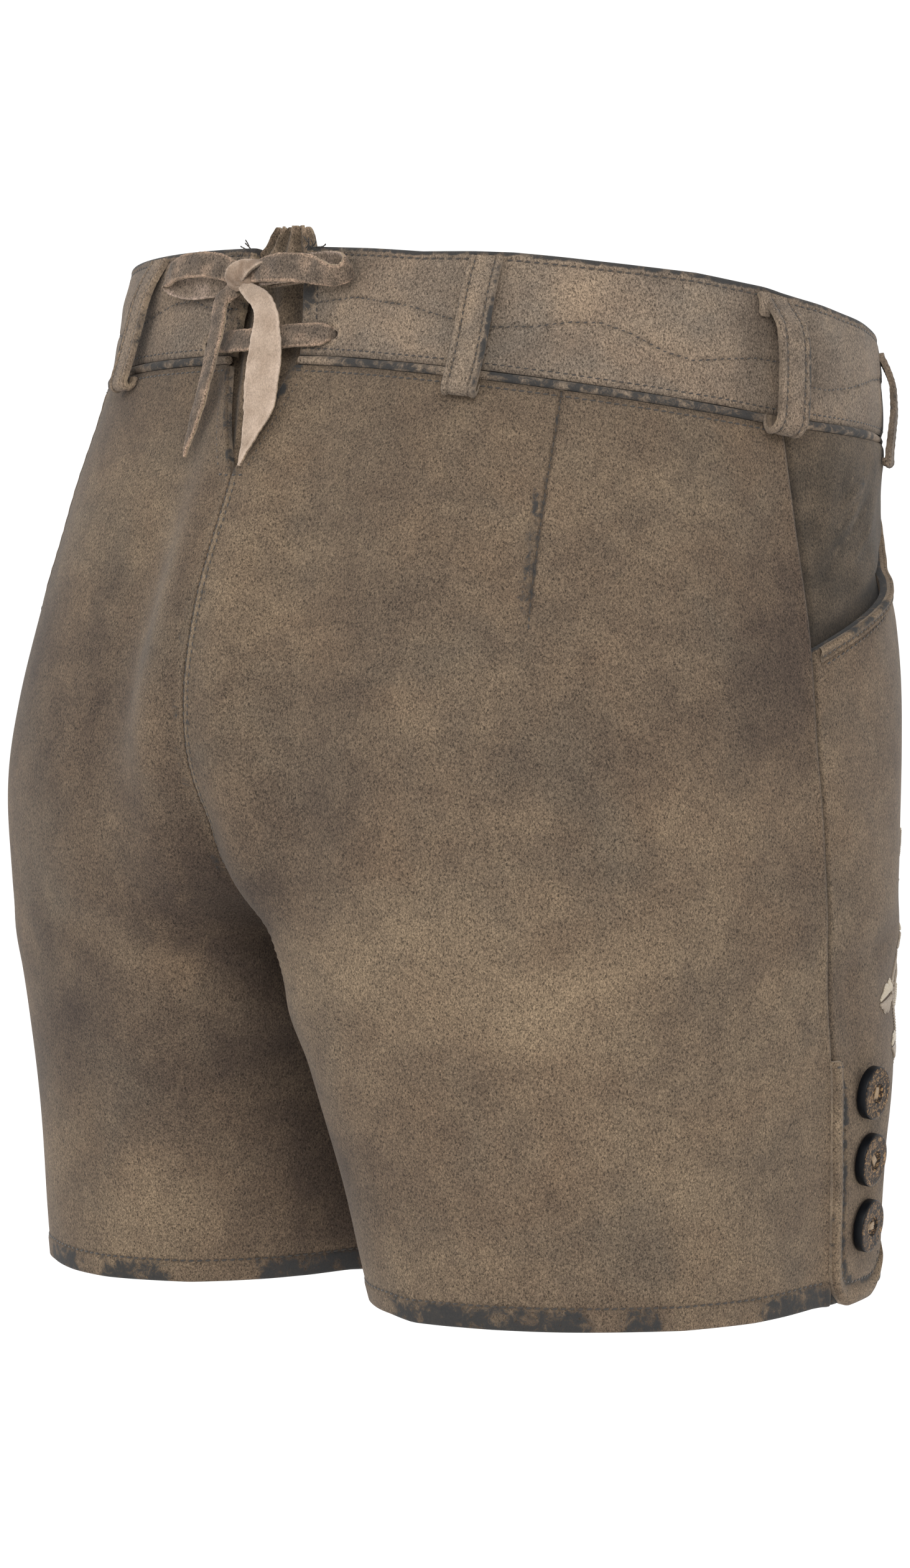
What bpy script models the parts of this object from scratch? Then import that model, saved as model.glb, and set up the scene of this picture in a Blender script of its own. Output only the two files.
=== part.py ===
"""Lederhosen: short suede breeches in their worn, filled-out shape, hollow, with nobody inside.

Frame: +X is the wearer's left, +Y the wearer's back, +Z up. The origin is the middle of the
waist opening. Every cut piece is a leather wall laid on one body form, a stack of named rings.
A ring is read by its distance from the centre back, along the leather, and by its drop below
the waistband's top edge. Both halves use the same rings, mirrored. Units are metres; the
tables and the routes are in millimetres and degrees.
"""

from functools import lru_cache

import bmesh
import bpy
import numpy as np
from mathutils import Matrix, Vector

MM = 0.001
RIGHT, LEFT = -1, 1  # the sign of X on each half
SIDE_NAMES = {RIGHT: "right", LEFT: "left"}

# Leather and seams
PANEL_WALL = 1.8 * MM
BAND_WALL = 2.4 * MM
LACE_WALL = 1.5 * MM
SEAM_GAP = 0.3 * MM
APPLIED_GAP = 0.35 * MM  # under a piece sewn on top of a panel
EDGE_TRIM = 0.2 * MM  # a panel stops this short of its seam line
CROTCH_TRIM = 0.8 * MM  # and this much more where the four panels meet
CROTCH_REACH = 10  # millimetres of drop over which that fades
MIDDLE_CLEAR = 0.18 * MM  # no panel comes nearer the middle plane than this

# Heights, as drops below the top edge of the waistband
BAND_BOTTOM = 44.3 * MM
WAIST_SEAM = 46 * MM
PANEL_TOP = 47.7 * MM
PIPING_RADIUS = 1.25 * MM
PIPING_SUNK = 0.35 * MM
NOTCH_BOTTOM = 80 * MM
HEM = 350 * MM

# The laced notch at the centre back: how far each half's edge stands from the middle
NOTCH_AT_TOP = {RIGHT: 9 * MM, LEFT: 20 * MM}
NOTCH_AT_SEAM = {RIGHT: 15.5 * MM, LEFT: 22.5 * MM}
LACE_HOLES = {RIGHT: ((26.6, 7.4), (27.2, 36.9)), LEFT: ((32, 8), (33.5, 40.6))}
LACE_HOLE_RADIUS = 2.4 * MM
LACE_HOLE_CUT = 12 * MM  # the length of the punch that cuts them

# The pocket mouth on the front: where it starts on the side seam and where it ends
POCKET_SIDE_DROP = 126 * MM
POCKET_END = 0.425  # of the way from the side seam to the centre front
POCKET_GAPE = 4.0 * MM
POCKET_GAPE_REACH = 16 * MM
POCKET_UNDERLAP = 16 * MM
POCKET_UNDERLAP_END = 0.05  # and how much further forward than the mouth the hip piece runs
HIP_PIECE_TUCK = 2.4 * MM  # how far behind the front panel it lies
TUCK_START, TUCK_LENGTH = 11 * MM, 9 * MM  # it sinks to that depth over this stretch above the mouth
HIP_PIECE_LEAST = 10 * MM  # its height at its front end
WELT_START, WELT_END = 0.01, 0.412
WELT_INSET = 0.4 * MM
WELT_WIDTH = 5 * MM
WELT_WALL = 1.2 * MM

# Belt loops: distance from the centre back at the band's top edge and at its seam
LOOP_PLACES = {"back": (80, 82), "side": (190, 205), "front": (264, 272)}
LOOP_WIDTH = 12 * MM
LOOP_WALL = 1.8 * MM
# Each strap stands off the waistband, turns under below the waist seam and ends at the seam.
LOOP_FRONT = ((0.6, 0.4), (5, 0.5), (11, 1.9), (18, 3.3), (27, 3.9), (39, 3.9))  # drop, clearance
LOOP_TURN_DROP = 51.2  # the middle of the turn
LOOP_TURN_POINTS = 8
LOOP_END = 49.4

# The buttoned strip on each leg, on the front panel beside the side seam
PLACKET_TOP = 267 * MM
PLACKET_WIDTH = 41 * MM
PLACKET_WALL = 2.2 * MM
PLACKET_CORNER = 10 * MM
PLACKET_FROM_SEAM = 0.5 * MM
PLACKET_FROM_HEM = 0.2 * MM
LEG_BUTTON_DROPS = (278.5, 302, 325)
BUTTON_RADIUS = 9.5 * MM
BUTTON_SIDES = 20
# Half of its turned outline, from the back over the rim to the sunk middle: share of the radius, height
BUTTON_PROFILE = ((0, 0), (0.94, 0), (1, 0.6), (1, 3.3), (0.95, 3.8), (0.38, 3.8), (0.32, 3.0), (0, 2.9))

# The drop-front flap
FLAP_TOP, FLAP_BOTTOM = 12 * MM, 165 * MM
FLAP_HALF_TOP, FLAP_HALF_BOTTOM = 88 * MM, 74 * MM
FLAP_LIFT = 1.3 * MM  # clear of the piping in the waist seam
FLAP_BUTTON_INSET = 15 * MM

# The pleated gusset behind the notch: distance of each edge from the middle, + is the right
GUSSET_COLUMNS = ("drop", "left edge", "right edge", "inset", "pleat depth")
GUSSET_ROWS = (
    (-9, -13, 9, 4.6, 1.0),
    (0, -24, 14, 4.8, 1.1),
    (20, -29, 19, 5.0, 1.2),
    (46, -28, 21, 5.0, 1.1),
    (66, -15, 12, 4.6, 0.8),
    (86, -6, 6, 4.2, 0.4),
)
GUSSET_PLEATS = 5
GUSSET_RAGGED, GUSSET_POINTS = 1.2 * MM, 3.5  # the height and number of the points on its raw top edge
GUSSET_WALL = 1.4 * MM

# The body form. z is a height, w a distance from the middle plane and y is + to the back.
# A ring runs from its inner back end, at the turn angle, over the seat to the side, over the
# thigh and back to its inner front end. The side seam crosses it at seam_y. The two share
# columns say how full its corners are.
FORM_COLUMNS = (
    "drop", "back_z", "side_z", "front_z", "inner_w", "back_y", "back_turn", "seat_w", "seat_y",
    "side_w", "side_y", "thigh_w", "thigh_y", "front_y", "front_turn", "seam_y", "back_full",
    "front_full",
)
FORM_ROWS = {
    "waist top": (0, 23, 8, -22, 0, 113, 0, 30, 109.5, 149.5, 3.5, 30, -107.5, -108, 0, 23, 0.55, 0.55),
    "waist seam": (46, -17, -39, -53.5, 0, 125.5, 0, 34, 120, 155, 2.5, 34, -103, -104, 0, 21, 0.55, 0.55),
    "high hip": (80, -57.5, -75.5, -86, 0, 141, 4, 41, 134.5, 160, 8, 40, -99, -101, 0, 20.5, 0.55, 0.55),
    "hip": (125, -105.5, -117.5, -124, 0, 160, 10, 47, 147, 168.5, 11.5, 45, -98.5, -99, 6, 22, 0.55, 0.55),
    "seat": (155, -137, -150.5, -159, 0, 165, 16, 53, 154, 172, 15.5, 52, -95, -94, 12, 23, 0.55, 0.55),
    "low seat": (
        195, -176, -185.5, -193, 0, 154, 34, 58, 156.5, 176, 18, 58, -89.5, -82, 30, 23.5, 0.58, 0.56,
    ),
    "seat fold": (
        220, -207.5, -208.5, -216, 0, 129, 62, 56, 155, 176.5, 19, 63, -84, -56, 55, 22.5, 0.66, 0.58,
    ),
    "crotch": (245, -242, -239.5, -242, 0, 37, 84, 54, 150.5, 174.5, 19, 70, -81, 37, 84, 20, 0.71, 0.6),
    "thigh": (270, -266.5, -266, -266.5, 4, 30, 90, 58, 144, 173, 19.5, 76, -79.5, 30, 90, 16, 0.67, 0.6),
    "mid leg": (305, -303, -303, -303, 5, 27, 90, 69, 135.5, 168, 21.5, 81, -78.5, 27, 90, 9.5, 0.62, 0.57),
    "hem": (350, -348.5, -354, -348.5, 5, 24, 90, 79, 129, 160.5, 25.5, 85, -81, 24, 90, 0, 0.52, 0.55),
}
QUARTER_POINTS = 24  # points on each quarter of a ring
ROUND_CORNER = 0.55  # how full the two outer corners are: close to a part of an ellipse

# Rows of the panels' grids, as drops in millimetres. The front panel's rows start at the pocket
# mouth on the side seam, where they meet the back panel's rows, and at the waist in the middle.
BACK_DROPS = (
    47.7, 64, 80, 98, 117, 136, 154, 170, 184, 196, 206, 214, 221, 227, 233, 239, 245, 252, 261, 273, 290,
    312, 331, 350,
)
FRONT_SIDE_DROPS = (
    126, 136, 154, 170, 184, 196, 206, 214, 221, 227, 233, 239, 245, 252, 261, 273, 290, 312, 331, 350,
)
FRONT_MIDDLE_DROPS = (
    47.7, 76, 104, 130, 152, 170, 186, 199, 210, 219, 227, 234, 240, 246, 255, 268, 286, 308, 329, 350,
)
# Columns of those grids, and the share of them that lies inside the crest of the seat or thigh
BACK_COLUMNS, BACK_CREST = 18, 7 / 18
FRONT_COLUMNS, FRONT_CREST = 18, 12 / 18

# Lace routes: distance to the wearer's right of the middle back, drop, height off the leather,
# width of the lace, and how far its width leans out from the leather
LACE_COLUMNS = ("right", "drop", "out", "width", "lean")
LACE_STEPS = 2  # rows of the mesh from one point of a route to the next
LACE_CROSS = (
    (27.2, 36.9, 1.3, 6.5, 0), (23, 37.4, 1.9, 8.5, 0), (14.5, 38.2, 2.4, 8.8, 0), (4.6, 39.2, 2.4, 8.8, 0),
    (-6, 40, 2.4, 8.4, 0), (-16, 40.3, 2.2, 8.4, 0), (-25, 40.4, 1.7, 7.8, 0), (-32.5, 40.6, 1.3, 6, 0),
)
LACE_UPPER = {
    RIGHT: ((26.6, 7.6, 1.3, 6.5, 0), (19, 9.5, 1.4, 7.5, 0), (10, 12, 1.6, 7.5, 0), (-1.5, 15, 2.4, 7, 0)),
    LEFT: ((-32, 8.2, 1.2, 6.5, 0), (-27, 10, 1.2, 7, 0), (-21, 13, 1.2, 7, 0)),
}
BOW_LOOP = {
    RIGHT: (
        (-2.5, 13.2, 8.2, 8, 0), (3.4, 12.4, 9.4, 10.5, 0), (10.8, 12.9, 10.2, 11.4, 0),
        (22, 13.1, 10.2, 11.5, 0), (30, 12.6, 9.4, 11.3, 0), (34.4, 12.8, 7.2, 11, 0),
        (32.6, 13.2, 5.0, 10.8, 0), (25, 13.6, 4.0, 10.5, 0), (12, 14.2, 4.0, 10, 0), (-1.5, 15.5, 5.4, 8, 0),
    ),
    LEFT: (
        (-18.5, 13.2, 8.4, 8, 0), (-27.7, 10.4, 9.2, 9.5, 0), (-37, 9.4, 9.4, 9.5, 0),
        (-46, 9.8, 9.2, 9.2, 0), (-53, 11.8, 7.8, 8.2, 0), (-57.4, 14.4, 5.6, 6.5, 0),
        (-54, 16.8, 3.6, 6.8, 0), (-43, 18.2, 3.1, 8, 0), (-32, 17.6, 3.1, 8, 0), (-20, 16.6, 3.4, 7, 0),
    ),
}
LACE_TAIL = {
    RIGHT: (
        (-5, 25.4, 7.0, 6.5, 0), (0.2, 27.6, 7.6, 8.5, -8), (4, 32.5, 7.4, 9, -8), (6, 40, 7.4, 10.3, -5),
        (7.2, 48, 7.6, 10.8, 0), (8.4, 56, 6.6, 10.4, 0), (9, 63, 5.4, 9.4, 0), (8.6, 69, 4.4, 6.5, 0),
        (7, 74.5, 3.6, 3.2, 0), (5.4, 78, 3.2, 1, 0),
    ),
    LEFT: (
        (-17.8, 21.4, 6.0, 5.5, 0), (-23.4, 23.4, 6.6, 6, 20), (-25.2, 27, 7.6, 8, 45),
        (-21, 32.5, 8.0, 8.6, 60), (-20, 38.5, 8.4, 8.6, 62), (-21.4, 46, 8.0, 8.6, 60),
        (-22.8, 54, 6.8, 8.4, 60), (-24, 62, 5.6, 7.5, 60), (-25.6, 69, 4.6, 5.5, 60),
        (-27.2, 76, 3.4, 1.2, 60),
    ),
}
KNOT_PLACE = (-10.4, 15.8, 6.4)  # right, drop, out
KNOT_RADII = (7.0 * MM, 6.2 * MM, 4.4 * MM)

# sRGB hex colour, roughness and metallic share of each finish
FINISHES = {
    "suede": ("#7d6e60", 0.95, 0.0),
    "suede_dark": ("#5f554a", 0.95, 0.0),
    "lace_flesh": ("#b89f89", 0.95, 0.0),
    "piping": ("#4b4c51", 0.9, 0.0),
    "horn": ("#4a4038", 0.4, 0.0),
}


def linear(hex_colour):
    """The linear RGBA of an sRGB hex colour."""
    parts = [int(hex_colour[i : i + 2], 16) / 255 for i in (1, 3, 5)]
    return [c / 12.92 if c <= 0.04045 else ((c + 0.055) / 1.055) ** 2.4 for c in parts] + [1.0]


def finish(name):
    """The Principled material of that name, made once."""
    if name in bpy.data.materials:
        return bpy.data.materials[name]
    colour, roughness, metallic = FINISHES[name]
    made = bpy.data.materials.new(name)
    made.use_nodes = True
    shader = made.node_tree.nodes["Principled BSDF"]
    shader.inputs["Base Color"].default_value = linear(colour)
    shader.inputs["Roughness"].default_value = roughness
    shader.inputs["Metallic"].default_value = metallic
    return made


# ---- The body form ----


def smooth_between(knots, values, at):
    """Values at a place between knots, on a smooth curve through them all that never overshoots."""
    knots, values = np.asarray(knots, float), np.asarray(values, float)
    steps = np.diff(knots)
    slopes = np.diff(values, axis=0) / steps[:, None]
    tangents = np.empty_like(values)
    tangents[0], tangents[-1] = slopes[0], slopes[-1]
    weights = steps[1:, None] + steps[:-1, None]
    mean = (slopes[:-1] * steps[1:, None] + slopes[1:] * steps[:-1, None]) / weights
    least = np.minimum(np.abs(slopes[:-1]), np.abs(slopes[1:]))
    same_way = slopes[:-1] * slopes[1:] > 0
    tangents[1:-1] = np.where(same_way, np.clip(mean, -3 * least, 3 * least), 0)
    i = int(np.clip(np.searchsorted(knots, at, side="right") - 1, 0, len(steps) - 1))
    h = steps[i]
    x = (at - knots[i]) / h
    return (
        (2 * x**3 - 3 * x**2 + 1) * values[i]
        + (x**3 - 2 * x**2 + x) * h * tangents[i]
        + (3 * x**2 - 2 * x**3) * values[i + 1]
        + (x**3 - x**2) * h * tangents[i + 1]
    )


def quarter(start, start_way, end, end_way, fullness):
    """Points of a Bezier corner between two places, leaving and arriving along the given ways."""
    start, end = np.array(start), np.array(end)
    start_way, end_way = np.array(start_way), np.array(end_way)
    reach = np.abs(end - start)
    a = start + start_way * (reach @ np.abs(start_way)) * fullness
    b = end - end_way * (reach @ np.abs(end_way)) * fullness
    t = np.linspace(0, 1, QUARTER_POINTS)[:, None]
    return (1 - t) ** 3 * start + 3 * (1 - t) ** 2 * t * a + 3 * (1 - t) * t**2 * b + t**3 * end


@lru_cache(maxsize=None)
def ring(drop):
    """One half ring: its points (w, y, z), the distance along it, and its marks.

    The marks are the distances of the seat's crest, the side seam, the thigh's crest and the end.
    """
    table = np.array(list(FORM_ROWS.values()), float)
    values = smooth_between(table[:, 0] * MM, table[:, 1:], drop)
    f = dict(zip(FORM_COLUMNS[1:], values))
    if drop >= FORM_ROWS["crotch"][0] * MM:  # the two panels share the inseam
        f["front_y"] = f["back_y"]
    back_turn, front_turn = np.radians(f["back_turn"]), np.radians(f["front_turn"])
    inner_back, seat = (f["inner_w"], f["back_y"]), (f["seat_w"], f["seat_y"])
    side, thigh = (f["side_w"], f["side_y"]), (f["thigh_w"], f["thigh_y"])
    inner_front = (f["inner_w"], f["front_y"])
    back_way = (np.cos(back_turn), np.sin(back_turn))
    front_way = (-np.cos(front_turn), np.sin(front_turn))
    corners = [
        quarter(inner_back, back_way, seat, (1, 0), f["back_full"]),
        quarter(seat, (1, 0), side, (0, -1), ROUND_CORNER),
        quarter(side, (0, -1), thigh, (-1, 0), ROUND_CORNER),
        quarter(thigh, (-1, 0), inner_front, front_way, f["front_full"]),
    ]
    plan = np.vstack([c[:-1] for c in corners[:3]] + [corners[3]]) * MM
    along = np.concatenate([[0], np.cumsum(np.hypot(*np.diff(plan, axis=0).T))])
    outer = slice(QUARTER_POINTS - 1, 3 * QUARTER_POINTS - 2)
    seam = float(np.interp(-f["seam_y"] * MM, -plan[outer, 1], along[outer]))
    to_back = np.cos(np.pi / 2 * np.clip(along / seam, 0, 1))
    to_front = np.sin(np.pi / 2 * np.clip((along - seam) / (along[-1] - seam), 0, 1))
    z = f["side_z"] + (f["back_z"] - f["side_z"]) * to_back + (f["front_z"] - f["side_z"]) * to_front
    plan[:, 0] = np.maximum(plan[:, 0], MIDDLE_CLEAR)
    marks = (along[QUARTER_POINTS - 1], seam, along[3 * QUARTER_POINTS - 3], along[-1])
    return np.column_stack([plan, z * MM]), along, tuple(float(mark) for mark in marks)


def marks_at(drop):
    """Distances from the centre back of the seat's crest, side seam, thigh's crest and end."""
    return ring(round(float(drop), 6))[2]


def seam_at(drop):
    """The side seam's distance from the centre back, along the ring."""
    return marks_at(drop)[1]


def end_at(drop):
    """The length of half a ring, from the centre back to the centre front."""
    return marks_at(drop)[3]


def bare_point(distance, drop):
    """The place at that distance and drop, in (w, y, z)."""
    points, along, _ = ring(round(float(drop), 6))
    return np.array([np.interp(distance, along, points[:, i]) for i in range(3)])


def unit(way):
    return way / np.linalg.norm(way)


def outward(distance, drop):
    """The unit direction out of the leather, in (w, y, z)."""
    step = 1.0 * MM
    across = bare_point(distance + step, drop) - bare_point(max(distance - step, 0), drop)
    down = bare_point(distance, min(drop + step, HEM)) - bare_point(distance, max(drop - step, 0))
    return unit(np.cross(across, down))


def on_form(side, distance, drop, out=0.0):
    """The place at that distance and drop, moved out, and the outward direction, in (X, Y, Z)."""
    flip = np.array([side, 1, 1])
    way = outward(distance, drop)
    return (bare_point(distance, drop) + way * out) * flip, way * flip


def on_back(right, drop, out=0.0):
    """on_form across the middle back: right is + towards the wearer's right."""
    return on_form(RIGHT if right >= 0 else LEFT, abs(right), drop, out)


def on_front(left, drop, out=0.0):
    """on_form across the middle front: left is + towards the wearer's left."""
    return on_form(LEFT if left >= 0 else RIGHT, end_at(drop) - abs(left), drop, out)


# ---- Makers of pieces ----


def add_piece(name, mesh, material):
    """A smooth-shaded object with that mesh and material."""
    mesh.shade_smooth()
    mesh.set_sharp_from_angle(angle=np.radians(40))
    mesh.materials.append(finish(material))
    piece = bpy.data.objects.new(name, mesh)
    bpy.context.scene.collection.objects.link(piece)
    return piece


def sheet_mesh(name, columns, rows, place, wall, outer_share=0.0):
    """A closed wall: a grid whose point at (across, down), each 0 to 1, goes where place says.

    place gives the point and the outward direction there. The wall is made by extruding the
    grid inwards along those directions, so the walls of two pieces that meet stay parallel.
    outer_share is how much of the wall lies outside the given points.
    """
    bm = bmesh.new()
    bmesh.ops.create_grid(bm, x_segments=columns, y_segments=rows, size=0.5)
    ways = {}
    for vert in bm.verts:
        across, down = round(vert.co.x + 0.5, 6), round(0.5 - vert.co.y, 6)
        point, way = place(across, down)
        vert.co = point + way * wall * outer_share
        ways[tuple(vert.co)] = way
    made = bmesh.ops.extrude_face_region(bm, geom=list(bm.faces), use_keep_orig=True)
    for vert in made["geom"]:
        if isinstance(vert, bmesh.types.BMVert):
            vert.co -= Vector(ways[tuple(vert.co)] * wall)
    bmesh.ops.recalc_face_normals(bm, faces=bm.faces)
    mesh = bpy.data.meshes.new(name)
    bm.to_mesh(mesh)
    bm.free()
    return mesh


def add_cloth(name, columns, rows, place, material="suede", wall=PANEL_WALL, outer_share=0.0):
    """A leather piece laid on the form, with its wall going inwards."""
    return add_piece(name, sheet_mesh(name, columns, rows, place, wall, outer_share), material)


def add_bead(name, points, radius, material):
    """A round bead along a line of points."""
    curve = bpy.data.curves.new(name, "CURVE")
    curve.dimensions = "3D"
    curve.bevel_depth = radius
    curve.bevel_resolution = 1
    curve.use_fill_caps = True
    spline = curve.splines.new("POLY")
    spline.points.add(len(points) - 1)
    for spline_point, place in zip(spline.points, points):
        spline_point.co = (*place, 1)
    curve.materials.append(finish(material))
    piece = bpy.data.objects.new(name, curve)
    bpy.context.scene.collection.objects.link(piece)
    return piece


# ---- Panels ----


def rows_between(drops, count):
    """A function from 0..1 down the grid to the share of the way down those drops."""
    drops = np.array(drops) * MM
    return lambda down: float(np.interp(down * count, range(len(drops)), drops))


def notch_edge(side, drop):
    """How far the edge of the laced notch stands from the middle at that drop."""
    if drop <= WAIST_SEAM:
        share = drop / WAIST_SEAM
        return NOTCH_AT_TOP[side] + (NOTCH_AT_SEAM[side] - NOTCH_AT_TOP[side]) * share
    share = (drop - WAIST_SEAM) / (NOTCH_BOTTOM - WAIST_SEAM)
    return max(0.0, NOTCH_AT_SEAM[side] * (1 - share))


def inner_trim(drop):
    """How far a panel stops short of its inner seam: more at the crotch, where four walls meet."""
    from_crotch = (drop / MM - FORM_ROWS["crotch"][0]) / CROTCH_REACH
    return EDGE_TRIM + CROTCH_TRIM * float(np.exp(-(from_crotch**2)))


def add_back_panel(side):
    """The back of one leg and seat, from the waist seam to the hem."""
    rows = len(BACK_DROPS) - 1
    drop_at = rows_between(BACK_DROPS, rows)

    def place(across, down):
        drop = drop_at(down)
        crest, seam, _, _ = marks_at(drop)
        stations = (inner_trim(drop) + notch_edge(side, drop), crest, seam - SEAM_GAP / 2)
        return on_form(side, np.interp(across, (0, BACK_CREST, 1), stations), drop)

    return add_cloth(f"back_panel_{SIDE_NAMES[side]}", BACK_COLUMNS, rows, place)


def pocket_mouth(share):
    """The drop of the pocket mouth at that share of the way from the side seam to its end."""
    return PANEL_TOP + (POCKET_SIDE_DROP - PANEL_TOP) * (1 - 0.65 * share - 0.35 * share**3)


def front_top(across):
    """The drop of the front panel's upper edge: the pocket mouth, then the waist seam."""
    return pocket_mouth(across / POCKET_END) if across < POCKET_END else PANEL_TOP


def pocket_gape(across, drop):
    """How far the front panel stands off the hip there, because the mouth hangs open."""
    if across >= POCKET_END:
        return 0.0
    below = (drop - front_top(across)) / POCKET_GAPE_REACH
    return POCKET_GAPE * np.sin(np.pi * across / POCKET_END) * float(np.exp(-(below**2)))


def front_place(side, across, drop, out=0.0):
    """A place on the front: across is 0 at the side seam and 1 at the middle."""
    _, seam, crest, end = marks_at(drop)
    stations = (seam + SEAM_GAP / 2, crest, end - inner_trim(drop))
    return on_form(side, np.interp(across, (0, FRONT_CREST, 1), stations), drop, out)


def add_front_panel(side):
    """The front of one leg, from the pocket mouth and the waist seam to the hem."""
    rows = len(FRONT_SIDE_DROPS) - 1
    at_side, at_middle = (rows_between(drops, rows) for drops in (FRONT_SIDE_DROPS, FRONT_MIDDLE_DROPS))

    def place(across, down):
        share_at_side = (at_side(down) - POCKET_SIDE_DROP) / (HEM - POCKET_SIDE_DROP)
        share_in_middle = (at_middle(down) - PANEL_TOP) / (HEM - PANEL_TOP)
        inward = min(across / POCKET_END, 1)
        share = share_at_side + (share_in_middle - share_at_side) * inward
        top = front_top(across)
        drop = top + (HEM - top) * share
        return front_place(side, across, drop, pocket_gape(across, drop))

    return add_cloth(f"front_panel_{SIDE_NAMES[side]}", FRONT_COLUMNS, rows, place)


def add_hip_piece(side):
    """The pocket bearer: it fills the hip above the mouth and runs on behind the front panel."""

    def place(across, down):
        share = across * (POCKET_END + POCKET_UNDERLAP_END)
        mouth = pocket_mouth(share / POCKET_END)
        bottom = max(mouth + POCKET_UNDERLAP, PANEL_TOP + HIP_PIECE_LEAST)
        drop = PANEL_TOP + (bottom - PANEL_TOP) * down
        under = float(np.clip((drop - mouth + TUCK_START) / TUCK_LENGTH, 0, 1))
        return front_place(side, share, drop, -HIP_PIECE_TUCK * under)

    return add_cloth(f"hip_piece_{SIDE_NAMES[side]}", 9, 8, place, "suede_dark")


def add_pocket_welt(side):
    """The bound edge of the pocket mouth, on the front panel."""
    lift = APPLIED_GAP + WELT_WALL

    def place(across, down):
        share = WELT_START + (WELT_END - WELT_START) * across
        drop = front_top(share) + WELT_INSET + WELT_WIDTH * down
        return front_place(side, share, drop, pocket_gape(share, drop) + lift)

    return add_cloth(f"pocket_welt_{SIDE_NAMES[side]}", 12, 1, place, "suede_dark", WELT_WALL)


# ---- Waistband, piping, loops ----


def add_waistband(side):
    """Half of the waistband, from the notch to the centre front, with its two lace holes."""

    def place(across, down):
        drop = BAND_BOTTOM * down
        start, end = notch_edge(side, drop), end_at(drop) - EDGE_TRIM
        return on_form(side, start + (end - start) * across, drop)

    name = f"waistband_{SIDE_NAMES[side]}"
    band = add_cloth(name, 28, 3, place, wall=BAND_WALL)
    for i, (distance, drop) in enumerate(LACE_HOLES[side]):
        point, way = on_form(side, distance * MM, drop * MM)
        bm = bmesh.new()
        bmesh.ops.create_cone(
            bm, cap_ends=True, segments=8, radius1=LACE_HOLE_RADIUS, radius2=LACE_HOLE_RADIUS,
            depth=LACE_HOLE_CUT,
        )
        mesh = bpy.data.meshes.new(f"{name}_hole_{i}")
        bm.to_mesh(mesh)
        bm.free()
        cutter = bpy.data.objects.new(mesh.name, mesh)
        bpy.context.scene.collection.objects.link(cutter)
        turn_to(cutter, point, way)
        cutter.hide_render = True
        cutter.display_type = "WIRE"
        cut = band.modifiers.new(f"hole_{i}", "BOOLEAN")
        cut.operation = "DIFFERENCE"
        cut.object = cutter
    return band


def turn_to(piece, point, way):
    """Stands a piece at a point with its own Z along the given way."""
    turn = Vector(way).to_track_quat("Z", "Y").to_matrix().to_4x4()
    piece.matrix_world = Matrix.Translation(Vector(point)) @ turn


def add_waist_piping(side):
    """The bead sewn into the waist seam, sunk so that most of it is in the seam."""
    start = notch_edge(side, WAIST_SEAM) + SEAM_GAP
    distances = np.linspace(start, end_at(WAIST_SEAM) - EDGE_TRIM, 30)
    points = [on_form(side, d, WAIST_SEAM, -PIPING_SUNK)[0] for d in distances]
    return add_bead(f"waist_piping_{SIDE_NAMES[side]}", points, PIPING_RADIUS, "piping")


def loop_path():
    """The strap's outer face as rows of (drop, out): down the front, round the turn, up to the seam."""
    wall = LOOP_WALL / MM
    front = [(drop, clearance + wall) for drop, clearance in LOOP_FRONT]
    outermost, innermost = front[-1][1], APPLIED_GAP / MM
    radius, middle = (outermost - innermost) / 2, (outermost + innermost) / 2
    angles = np.linspace(0, np.pi, LOOP_TURN_POINTS)
    turn = [(LOOP_TURN_DROP + radius * np.sin(a), middle + radius * np.cos(a)) for a in angles]
    return np.array([*front, *turn, (LOOP_END, innermost)]) * MM


def add_belt_loop(side, where):
    """A belt loop: a strap sewn down at its top, and under its turned end in the waist seam."""
    at_top, at_seam = (place * MM for place in LOOP_PLACES[where])
    path = loop_path()
    rows = len(path) - 1

    def spot(across, down):
        drop, out = (float(np.interp(down * rows, range(rows + 1), column)) for column in path.T)
        middle = at_top + (at_seam - at_top) * drop / WAIST_SEAM
        return on_form(side, middle + LOOP_WIDTH * (across - 0.5), drop, out)[0]

    def place(across, down):
        step = 0.2 / rows
        along_path = spot(across, min(down + step, 1)) - spot(across, max(down - step, 0))
        return spot(across, down), side * unit(np.cross(spot(1, down) - spot(0, down), along_path))

    name = f"belt_loop_{where}_{SIDE_NAMES[side]}"
    return add_cloth(name, 2, rows, place, wall=LOOP_WALL)


# ---- Gusset and lace at the back ----


def add_gusset():
    """The pleated insert behind the notch. Its wall goes straight forwards, so no pleat crosses itself."""
    knots = np.linspace(0, 1, len(GUSSET_ROWS))
    table = dict(zip(GUSSET_COLUMNS, np.array(GUSSET_ROWS, float).T * MM))

    def place(across, down):
        row = {name: float(np.interp(down, knots, column)) for name, column in table.items()}
        sideways = row["left edge"] + (row["right edge"] - row["left edge"]) * across
        wave = np.cos(2 * np.pi * GUSSET_PLEATS * across)
        ragged = GUSSET_RAGGED * np.sin(2 * np.pi * GUSSET_POINTS * across) if down == 0 else 0.0
        point = on_back(sideways, max(row["drop"], 0.0))[0]
        forwards = row["inset"] - row["pleat depth"] * wave
        point = point + np.array([0, -forwards, max(-row["drop"], 0.0) + ragged])
        return point, np.array([0.0, 1.0, 0.0])

    return add_cloth("back_gusset", 6 * GUSSET_PLEATS, 7, place, "suede_dark", GUSSET_WALL)


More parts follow.
